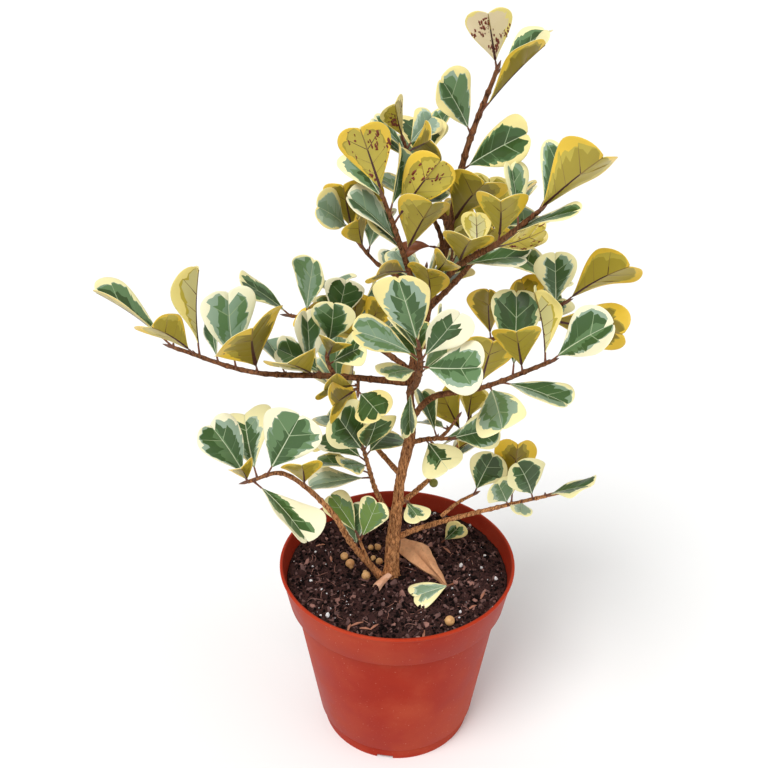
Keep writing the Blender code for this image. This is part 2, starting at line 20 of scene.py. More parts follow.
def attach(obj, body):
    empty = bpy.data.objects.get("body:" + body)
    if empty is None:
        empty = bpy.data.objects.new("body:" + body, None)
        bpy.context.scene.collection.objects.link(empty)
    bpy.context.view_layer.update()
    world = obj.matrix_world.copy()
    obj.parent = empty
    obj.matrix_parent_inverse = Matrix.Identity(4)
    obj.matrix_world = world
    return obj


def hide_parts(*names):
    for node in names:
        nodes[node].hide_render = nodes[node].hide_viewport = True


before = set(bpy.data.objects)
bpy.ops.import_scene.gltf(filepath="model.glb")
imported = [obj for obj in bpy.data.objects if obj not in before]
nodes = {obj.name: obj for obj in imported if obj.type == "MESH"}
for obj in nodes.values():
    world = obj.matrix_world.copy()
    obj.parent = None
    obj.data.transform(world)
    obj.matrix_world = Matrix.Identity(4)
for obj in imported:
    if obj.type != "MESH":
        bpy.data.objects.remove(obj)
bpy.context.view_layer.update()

# %% [markdown]
# ## Named sizes
#
# Lengths are written in millimetres and multiplied by MM, because Blender works in metres.
# The course of each limb, the leaves on it and the rule that places them are those of the
# solids, so that every fine leaf lies where a plain one does.

# %% Sizes
MM = 0.001
UP = Vector((0, 0, 1))
FRONT = Vector((0, -1, 0))
AWAY = Vector((0, 1, 0))
SOIL_HEIGHT = 131 * MM
SOIL_RADIUS = 80 * MM

# %% Trunk
TRUNK = (
    ((-4, -6, 131.3), 6.4),
    ((-4, -6, 138), 5.4),
    ((-3, -5, 164), 4.9),
    ((0, -3, 192), 3.6),
    ((2, -1, 213), 3.4),
    ((7, 0, 238), 3.9),
    ((9, 0, 254), 2.6),
    ((8, 0, 284), 2.3),
    ((14, 1, 316), 2.2),
    ((22, 0, 353), 2.1),
    ((29, 0, 383), 2.1),
    ((34, 0, 420), 2.0),
)

# %% [markdown]
# ## Limbs
#
# Each limb has a course through a few points, a radius at its root and at its tip, and leaves.
# The leaves that the plant is known by are aimed one by one, and the others spiral up the
# stem at the golden angle, as leaves do on a real shoot.


# %% The limbs and their leaves
class Limb:
    """course in mm, radii, bare share, leaf size in mm, aimed leaves, spiral count and twigs."""

    def __init__(self, name, course, radii, bare, size, aimed=(), spiral=0, turn=0, rise=40, twigs=(), rooted=False):
        self.name = name
        self.course = course
        self.radii = radii
        self.bare = bare
        self.size = size
        self.aimed = aimed
        self.spiral = spiral
        self.turn = turn
        self.rise = rise
        self.twigs = twigs
        self.rooted = rooted


LIMBS = (
    Limb("top", ((34, 0, 420), (40, 0, 444), (48, 0, 467), (53, 0, 481)), (2.0, 1.2), 0, 40,
         ((100, -120, 70, 33), (94, 25, 35, 40), (59, -40, 48, 56), (41, 125, 45, 42), (8, 30, 30, 45)), 1, 60),
    Limb("centre", ((8, 0, 282), (10, -36, 304), (11, -66, 330), (10, -70, 344)), (2.0, 1.4), 0.7, 46,
         ((100, 105, 45, 48), (93, 125, 8, 50), (92, 60, 14, 50), (86, 10, -8, 46, 40), (82, -140, 15, 42)), 2, -30),
    Limb("left", ((8, 0, 286), (-40, -16, 299), (-92, -20, 304), (-139, -22, 322)), (2.3, 1.2), 0.39, 48,
         ((100, 165, 32, 54, 20), (89, -110, 50, 50), (92, 65, 75, 55, -40), (74, 105, 45, 52), (65, -80, 55, 52, -35),
          (43, -110, 30, 48), (54, 95, 5, 46), (80, 70, 5, 42)), 1, 20),
    Limb("left_inner", ((-40, -18, 300), (-45, -12, 307), (-45, -6, 317)), (1.5, 1.1), 0.2, 42,
         ((100, 90, 10, 46), (96, 115, 45, 46), (60, -100, 50, 40), (60, 40, 4, 44), (80, 150, 15, 44))),
    Limb("left_low", ((-26, -11, 296), (-26, -14, 291), (-26, -17, 289)), (1.2, 0.9), 0, 42,
         ((100, -65, 2, 40), (80, -170, 5, 38, 50))),
    Limb("left_back", ((9, 0, 294), (-20, 12, 311), (-46, 20, 321), (-73, 34, 319)), (2.0, 1.1), 0.4, 44,
         ((99, 150, 25, 46), (84, 75, 58, 42), (62, 82, 36, 44), (85, -120, 37, 42), (50, 60, 20, 44)), 2, -60),
    Limb("right", ((8, 0, 258), (22, -16, 284), (52, -36, 302), (87, -54, 328)), (2.3, 1.2), 0.45, 48,
         ((100, 30, 30, 46), (96, -165, 80, 46, 30), (84, -110, 55, 48), (78, 80, 45, 52), (70, -40, 5, 46),
          (64, -90, 2, 48), (58, 70, 12, 48)), 1, -60),
    Limb("right_back", ((14, 0, 312), (52, 0, 316), (66, 0, 320), (101, -6, 344)), (2.0, 1.1), 0.42, 46,
         ((100, -30, 48, 50, -40), (95, 85, 42, 38), (82, 0, -8, 54), (52, -125, 52, 44), (55, -90, -8, 42),
          (79, 90, 12, 46)), 2, -50),
    Limb("upper_right", ((22, 0, 350), (35, -20, 375), (53, -40, 394), (73, -56, 418)), (2.2, 1.3), 0.3, 46,
         ((100, -35, 48, 52, -40), (100, 65, 30, 50), (69, -95, 46, 46), (36, -87, 40, 44), (85, 95, 50, 41),
          (75, 20, 14, 44), (67, -60, 20, 44), (34, 15, 0, 44)), 1, -80),
    Limb("crotch", ((24, 0, 358), (22, -9, 362), (21, -14, 367)), (1.4, 1.0), 0, 40, ((100, -100, 40, 40),)),
    Limb("upper_left", ((17, 0, 328), (7, -8, 362), (-1, -20, 390), (-10, -30, 418)), (2.1, 1.2), 0.38, 44,
         ((98, -130, 66, 46), (79, -35, 60, 47), (56, -30, 58, 40), (65, 135, 35, 42), (64, 115, 8, 44),
          (41, -120, 20, 44), (94, 120, 22, 46), (86, 75, 50, 40)), 1, -60),
    Limb("upper_left_side", ((7, -8, 358), (-14, -4, 370), (-31, 0, 390)), (1.3, 1.0), 0.45, 38,
         ((98, 115, 12, 38), (84, -125, 68, 36)), 1, -60),
    Limb("upper_middle", ((25, 0, 366), (25, 5, 384), (12, 10, 411), (2, 10, 440)), (1.6, 1.0), 0.25, 38,
         ((100, -105, 52, 32), (94, 65, 28, 36), (97, -70, 20, 32), (28, -35, 58, 46), (34, 90, 48, 44),
          (60, 160, 30, 38)), 2, -50),
    Limb("lower_right", ((0, -3, 163), (17, -6, 174), (55, -18, 196), (108, -28, 219)), (2.2, 1.1), 0.56, 34,
         ((84, 95, 12, 38), (69, 95, -6, 30), (91, 15, 2, 34), (77, -125, 52, 34)), 1, -40,
         twigs=((62, -15, -29, 34, 0), (69, 95, 70, 26, 3))),
    Limb("lower_right_side", ((30, -12, 188), (42, -8, 197), (53, -4, 201)), (1.3, 1.0), 0.3, 46,
         ((100, 52, 50, 46),)),
    Limb("lower_left", ((-11, -9, 131.3), (-31, -20, 169), (-46, -34, 210), (-72, -43, 243), (-95, -50, 242)),
         (2.3, 1.2), 0.68, 46,
         ((96, 115, 35, 46), (93, 60, 26, 46), (100, 165, 55, 42, 40), (74, -85, 52, 38), (98, -50, -20, 50, 50)),
         1, 0, rooted=True),
    Limb("lower_middle", ((-2, -2, 176), (-14, 0, 198), (-20, -8, 226), (-23, -16, 245)), (1.9, 1.2), 0.5, 42,
         ((94, 120, 5, 44), (97, 85, 0, 44), (89, 65, 0, 42), (78, -140, 42, 42), (80, 110, 34, 40),
          (57, -150, 12, 43)), 1, 30),
    Limb("fork_right", ((7, 0, 240), (20, -8, 248), (33, -16, 253)), (1.9, 1.1), 0.34, 38,
         ((73, 105, 35, 40), (98, 20, 0, 38), (45, -75, 0, 38)), 1, -40),
    Limb("foot", ((-17, -12, 142), (-22, -17, 157), (-27, -20, 176)), (1.4, 0.9), 0.5, 32,
         ((100, 120, 26, 32), (90, 65, 25, 32)), rooted=True),
    Limb("sprig", ((1, -4, 197), (5, -11, 200)), (0.9, 0.8), 0, 28, ((100, -45, -42, 28),)),
    Limb("low_back", ((2, 0, 190), (21, 20, 195), (40, 36, 206), (52, 44, 232)), (2.0, 1.1), 0.5, 44,
         ((87, -130, 60, 44), (100, 75, 0, 44)), 5, -50),
    Limb("back_low_left", ((2, 0, 214), (-22, 30, 228), (-44, 56, 252)), (2.0, 1.1), 0.45, 48, (), 8, 60),
    Limb("back_middle", ((8, 0, 296), (14, 36, 312), (20, 74, 338)), (2.0, 1.1), 0.45, 50, (), 9, 20),
    Limb("back_right", ((20, 0, 340), (46, 30, 356), (70, 56, 380)), (2.0, 1.1), 0.45, 48, (), 8, 80),
    Limb("back_upper", ((30, 0, 388), (22, 28, 408), (16, 48, 436)), (1.8, 1.1), 0.4, 44, (), 7, 140),
)

# %% [markdown]
# ## Shader expressions
#
# A finish is easier to read as arithmetic than as a tangle of nodes. This class wraps a
# socket, so that adding or multiplying two of them places the Math nodes.


# %% A socket that takes part in sums
class Wire:
    """A shader socket with the arithmetic of a number."""

    def __init__(self, tree, socket=None):
        self.tree = tree
        self.socket = socket

    def node(self, kind, settings=None, inputs=None, output=0):
        """Any node: its settings first, then the values or links of its inputs."""
        made = self.tree.nodes.new(kind)
        for name, value in (settings or {}).items():
            if name == "stops":
                while len(made.color_ramp.elements) < len(value):
                    made.color_ramp.elements.new(0.5)
                for element, (place, colour) in zip(made.color_ramp.elements, value):
                    element.position = place
                    element.color = (*colour, 1)
            else:
                setattr(made, name, value)
        for name, value in (inputs or {}).items():
            if isinstance(value, Wire):
                self.tree.links.new(value.socket, made.inputs[name])
            else:
                made.inputs[name].default_value = value
        return Wire(self.tree, made.outputs[output])

    def sum(self, operation, a, b):
        return self.node("ShaderNodeMath", {"operation": operation}, {0: a, 1: b})

    def __add__(self, other):
        return self.sum("ADD", self, other)

    def __radd__(self, other):
        return self.sum("ADD", other, self)

    def __sub__(self, other):
        return self.sum("SUBTRACT", self, other)

    def __rsub__(self, other):
        return self.sum("SUBTRACT", other, self)

    def __mul__(self, other):
        return self.sum("MULTIPLY", self, other)

    def __rmul__(self, other):
        return self.sum("MULTIPLY", other, self)

    def ramp(self, low, high):
        """0 below low, 1 above high."""
        return self.node(
            "ShaderNodeMapRange", {"clamp": True}, {"Value": self, "From Min": low, "From Max": high}
        )

    def mix(self, a, b):
        """Colour a where this is 0, colour b where it is 1."""
        pick = {"data_type": "RGBA", "blend_type": "MIX"}
        return self.node("ShaderNodeMix", pick, {0: self, 6: a, 7: b}, output=2)


def srgb(red, green, blue):
    """Linear colour of an 8-bit screen colour, with alpha."""
    linear = []
    for value in (red, green, blue):
        share = value / 255
        linear.append(share / 12.92 if share < 0.04045 else ((share + 0.055) / 1.055) ** 2.4)
    return (*linear, 1.0)


def finish(name, roughness, colour=None, **constants):
    """A new material, with its shader and a Wire to build on."""
    made = bpy.data.materials.new(name)
    made.use_nodes = True
    shader = made.node_tree.nodes["Principled BSDF"]
    shader.inputs["Roughness"].default_value = roughness
    if colour:
        shader.inputs["Base Color"].default_value = colour
    for key, value in constants.items():
        shader.inputs[key.replace("_", " ")].default_value = value
    return made, shader, Wire(made.node_tree)


def feed(wire, shader, name):
    wire.tree.links.new(wire.socket, shader.inputs[name])


def speckle(net, place, scale, detail=4, rough=0.6):
    inputs = {"Vector": place, "Scale": scale, "Detail": detail, "Roughness": rough}
    return net.node("ShaderNodeTexNoise", None, inputs)


def object_place(net):
    return net.node("ShaderNodeTexCoord", output=3)


# %% [markdown]
# ## Leaf colours
#
# Real variegation is flat patches with crisp, ragged borders. Each patch of a leaf is its own
# faces with a plain colour, which stays sharp at any distance.

# %% Plain leaf finishes
LEAF_COLOURS = (
    ("cream", (248, 240, 182)),
    ("cream_pale", (248, 243, 208)),
    ("cream_warm", (244, 228, 154)),
    ("green_deep", (54, 80, 32)),
    ("green_dark", (63, 94, 48)),
    ("green_mid", (97, 129, 83)),
    ("green_soft", (127, 153, 125)),
    ("green_grey", (148, 171, 148)),
    ("green_pale", (182, 200, 176)),
    ("green_fresh", (104, 134, 56)),
    ("vein_pale", (204, 214, 180)),
    ("vein_soft", (152, 172, 130)),
    ("vein_faint", (106, 134, 92)),
    # The underside olives and golds are partly copies of one colour for light and for shade. The deepest olive is
    # painted shade. The palest olive and the pale gold are painted light, a glow of light shining through the blade,
    # over undersides that are really paler.
    ("olive", (168, 150, 46)),
    ("olive_light", (192, 174, 66)),
    ("olive_deep", (136, 119, 26)),
    ("olive_pale", (212, 204, 140)),
    ("gold", (232, 194, 58)),
    ("gold_pale", (246, 227, 138)),
    ("midrib_dark", (70, 28, 24)),
    ("vein_brown", (142, 116, 52)),
    ("blush", (238, 218, 178)),
    ("rust", (122, 50, 30)),
    ("dead", (150, 84, 50)),
    ("stalk", (120, 70, 48)),
)
leaf_finishes = []
for name, screen in LEAF_COLOURS:
    made, shader, net = finish(f"leaf_{name}", 0.35, srgb(*screen), Specular_IOR_Level=0.45)
    leaf_finishes.append(made)
LEAF_SLOT = {name: i for i, (name, _) in enumerate(LEAF_COLOURS)}
print(f"{len(leaf_finishes)} leaf finishes")


# %% [markdown]
# ## Courses
#
# A limb runs along a smooth curve through its points. A frame of directions is carried along
# the curve without twisting, so that rings of points round it join up cleanly.


# %% A smooth course
def mm(values):
    return Vector(values) * MM


def catmull_rom(four, t):
    a, b, c, d = four
    return (b * 2 + (c - a) * t + (a * 2 - b * 5 + c * 4 - d) * t**2 + (b * 3 - a - c * 3 + d) * t**3) / 2


class Course:
    """A smooth line through knots, with a frame carried along it."""

    FINE = 12

    def __init__(self, knots, radii):
        ends = [knots[0] * 2 - knots[1], *knots, knots[-1] * 2 - knots[-2]]
        self.points = []
        self.radii = []
        spans = len(knots) - 1
        for i in range(spans):
            for k in range(self.FINE + (i == spans - 1)):
                t = k / self.FINE
                self.points.append(catmull_rom(ends[i : i + 4], t))
                self.radii.append(radii[i] * (1 - t) + radii[i + 1] * t)
        self.tangents = []
        for i in range(len(self.points)):
            before = self.points[max(i - 1, 0)]
            after = self.points[min(i + 1, len(self.points) - 1)]
            self.tangents.append((after - before).normalized())
        first = self.tangents[0]
        rough = UP if abs(first.z) < 0.8 else FRONT
        self.normals = [(rough - first * rough.dot(first)).normalized()]
        for before, after in zip(self.tangents, self.tangents[1:]):
            turned = before.rotation_difference(after) @ self.normals[-1]
            self.normals.append((turned - after * turned.dot(after)).normalized())
        self.reach = [0.0]
        for a, b in zip(self.points, self.points[1:]):
            self.reach.append(self.reach[-1] + (b - a).length)
        self.length = self.reach[-1]

    def at(self, distance):
        """Point, tangent, normal and radius at a distance along the line."""
        distance = min(max(distance, 0), self.length)
        i = 0
        while i < len(self.reach) - 2 and self.reach[i + 1] < distance:
            i += 1
        t = (distance - self.reach[i]) / (self.reach[i + 1] - self.reach[i])
        point = self.points[i].lerp(self.points[i + 1], t)
        tangent = self.tangents[i].lerp(self.tangents[i + 1], t).normalized()
        normal = self.normals[i].lerp(self.normals[i + 1], t)
        normal = (normal - tangent * normal.dot(tangent)).normalized()
        radius = self.radii[i] * (1 - t) + self.radii[i + 1] * t
        return point, tangent, normal, radius


# %% [markdown]
# ## The shape of a leaf
#
# The outline of half a leaf is two Bezier curves: a long straight side that widens from the
# stalk, and a round shoulder that runs back in to the notch. The blade is folded a little
# along its midrib and arches backwards.

# %% Leaf outline
LEAF_WIDTH = 0.86
LEAF_FOLD = 0.26
LEAF_CURL = 0.14
LEAF_NOTCH = 0.95
STALK_LENGTH = 0.13
STALK_RADIUS = 0.8 * MM
HALF_OUTLINE = (
    ((0, 0), (0.06, 0.14), (0.38, 0.42), (0.49, 0.75)),
    ((0.49, 0.75), (0.54, 0.95), (0.3, 1.03), (0, LEAF_NOTCH)),
)
SHAPE_SPLIT = 0.62
SOLID_ROWS = (0.34, 0.6, 0.74, 0.89)


def bezier(four, t):
    weights = ((1 - t) ** 3, 3 * t * (1 - t) ** 2, 3 * t**2 * (1 - t), t**3)
    return [sum(w * p[axis] for w, p in zip(weights, four)) for axis in (0, 1)]


def leaf_edge(share):
    """Half width and height on the outline, from the base at 0 to the notch at 1."""
    if share < SHAPE_SPLIT:
        return bezier(HALF_OUTLINE[0], share / SHAPE_SPLIT)
    return bezier(HALF_OUTLINE[1], (share - SHAPE_SPLIT) / (1 - SHAPE_SPLIT))


class Leaf:
    """A leaf's place: its root on the stem, its direction, its upper side and its length."""

    def __init__(self, root, along, face, length, fold=LEAF_FOLD, look="plain", breadth=None):
        self.fold = fold
        self.look = look
        self.breadth = breadth
        self.root = root
        self.along = along
        self.face = (face - along * face.dot(along)).normalized()
        self.side = self.along.cross(self.face)
        self.length = length

    def place(self, x, y, z):
        return self.root + self.side * x + self.along * y + self.face * z

    def solid_point(self, width, height):
        """A point of the plain solid's blade."""
        stalk = STALK_LENGTH * self.length
        blade = self.length - stalk
        x = width * LEAF_WIDTH * blade
        return self.place(x, stalk + height * blade, self.fold * abs(x) - LEAF_CURL * blade * height**2)


# %% [markdown]
# ## The growth rule
#
# This is the rule that placed the leaves of the solids: aimed leaves first, then those on
# twigs, then a spiral. A leaf that found no room was turned a little or left out, so each one
# is looked up in its solid before it is grown.

# %% Growth rule
SPIRAL = 137.5
DODGES = ((0, 1), (14, 1), (-14, 1), (28, 1), (-28, 1), (0, 0.85), (20, 0.85), (-20, 0.85), (45, 0.8), (-45, 0.8))
FACE_TO_TIP = 0.45
LIFT = 0.45
FOUND_WITHIN = 0.25 * MM


def aim(compass, elevation):
    """Unit vector of a compass direction and an elevation in degrees."""
    compass = math.radians(compass)
    elevation = math.radians(elevation)
    level = math.cos(elevation)
    return Vector((level * math.cos(compass), level * math.sin(compass), math.sin(elevation)))


class Plan:
    """Where a leaf would stand: the point and tangent of its stem, its direction and length."""

    def __init__(self, point, tangent, along, length, roll):
        self.point = point
        self.tangent = tangent
        self.along = along
        self.length = length
        self.roll = roll

    def leaf(self, turn, scale):
        along = Quaternion(self.tangent, math.radians(turn)) @ self.along
        face = Quaternion(along, self.roll) @ (UP + self.tangent * FACE_TO_TIP)
        return Leaf(self.point, along, face, self.length * scale)


def aimed_plans(row, course, rng):
    plans = []
    for share, compass, elevation, length, *roll in row.aimed:
        point, tangent, _, _ = course.at(course.length * share / 100)
        turned_by = math.radians(sum(roll)) + rng.uniform(-0.12, 0.12)
        plans.append(Plan(point, tangent, aim(compass, elevation), length * MM, turned_by))
    return plans


def spiral_plans(course, start, count, size, turn, rise, rng):
    plans = []
    for k in range(count):
        share = (k + 0.7) / count
        point, tangent, _, _ = course.at(start + (course.length - start) * share)
        around = Quaternion(tangent, math.radians(turn + SPIRAL * k + rng.uniform(-12, 12)))
        climb = math.radians(rise + 22 * share + rng.uniform(-8, 8))
        radial = around @ (AWAY - tangent * AWAY.dot(tangent)).normalized()
        along = radial * math.cos(climb) + tangent * math.sin(climb) + UP * LIFT
        length = size * MM * (1 - 0.2 * share**3) * rng.uniform(0.88, 1.04)
        plans.append(Plan(point, tangent, along.normalized(), length, rng.uniform(-0.3, 0.3)))
    return plans


def side_twig(course, distance, along, length):
    """Course of a twig from inside its stem, rising a little towards its tip."""
    root, _, _, radius = course.at(distance)
    knots = [root, root + along * length * 0.5, root + along * length + UP * length * 0.08]
    return Course(knots, [radius * 0.75, radius * 0.65, radius * 0.5])


# %% Look each leaf up in its solid
class Corners:
    """The corners of a foliage mass, to find which leaves it holds."""

    def __init__(self, mass):
        verts = mass.data.vertices
        self.tree = KDTree(len(verts))
        for vertex in verts:
            self.tree.insert(mass.matrix_world @ vertex.co, vertex.index)
        self.tree.balance()

    def hold(self, leaf):
        width, height = leaf_edge(SOLID_ROWS[1])
        places = (leaf.solid_point(-width, height), leaf.solid_point(width, height))
        return all(self.tree.find(place)[2] < FOUND_WITHIN for place in places)


class Grown:
    """A limb with its course, its twigs' courses and its leaves."""

    def __init__(self, row):
        last = len(row.course) - 1
        radii = [(row.radii[0] + (row.radii[1] - row.radii[0]) * k / last) * MM for k in range(last + 1)]
        self.row = row
        self.course = Course([mm(p) for p in row.course], radii)
        self.twigs = []
        rng = random.Random(row.name)
        plans = aimed_plans(row, self.course, rng)
        for share, compass, elevation, length, count in row.twigs:
            twig = side_twig(self.course, self.course.length * share / 100, aim(compass, elevation), length * MM)
            self.twigs.append(twig)
            plans.extend(spiral_plans(twig, twig.length / 3, count, row.size, row.turn, row.rise, rng))
        start = self.course.length * row.bare + (GAP if row.bare else GAP_AT_TIP)
        plans.extend(spiral_plans(self.course, start, row.spiral, row.size, row.turn, row.rise, rng))
        corners = Corners(nodes[f"foliage_{row.name}"])
        self.leaves = []
        for number, plan in enumerate(plans):
            tries = [plan.leaf(turn, scale) for turn, scale in DODGES]
            for leaf in [leaf for leaf in tries if corners.hold(leaf)][:1]:
                leaf.aimed = number < len(row.aimed)
                self.leaves.append(leaf)
        print(f"{row.name}: {len(self.leaves)} of {len(plans)} leaves")


GAP = 0.3 * MM
GAP_AT_TIP = 0.4 * MM
limbs = [Grown(row) for row in LIMBS]
print(f"{sum(len(limb.leaves) for limb in limbs)} leaves")

# %% [markdown]
# ## Leaves that the picture shows
#
# On the side that faces the camera, each leaf is aimed at the pixel where the picture shows its
# tip. A line of sight runs from the camera through that pixel. The tip lies where this line is
# the leaf's own length from the root, which happens twice, once nearer and once farther. Then
# the leaf is turned about its length until it shows the same face as in the picture.

# %% Lines of sight
EYE = mm((-9.5, -522, 558))
EYE_TILT = math.radians(62.4)
LENS = 42.19
SENSOR = 36
PICTURE = 768
FOCUS = PICTURE * LENS / SENSOR
EYE_TURN = Quaternion((1, 0, 0), EYE_TILT)


def pixel_of(point):
    """Where the camera shows a point, in pixels from the picture's top left corner."""
    seen = EYE_TURN.inverted() @ (point - EYE)
    return Vector((PICTURE / 2 - FOCUS * seen.x / seen.z, PICTURE / 2 + FOCUS * seen.y / seen.z))


def sight_through(pixel):
    across = Vector((pixel[0] - PICTURE / 2, PICTURE / 2 - pixel[1], -FOCUS))
    return (EYE_TURN @ across).normalized()


def seen_leaf(root, u, v, length, side, turn, fold, look, breadth=None):
    """A leaf whose tip shows at pixel (u, v), on the near side (1) or the far side (-1)."""
    goal = Vector((u, v))
    aimed = goal.copy()
    view = (EYE - root).normalized()
    length = length * MM
    for _ in range(4):
        ray = sight_through(aimed)
        foot = (root - EYE).dot(ray)
        gap = (EYE + ray * foot - root).length
        reach = math.sqrt(max(length**2 - gap**2, 0))
        along = (EYE + ray * (foot - side * reach) - root).normalized()
        face = Quaternion(along, math.radians(turn)) @ view
        leaf = Leaf(root, along, face, length, fold, look, breadth)
        aimed += (goal - pixel_of(leaf.solid_point(0, LEAF_NOTCH))) * 0.8
    return leaf


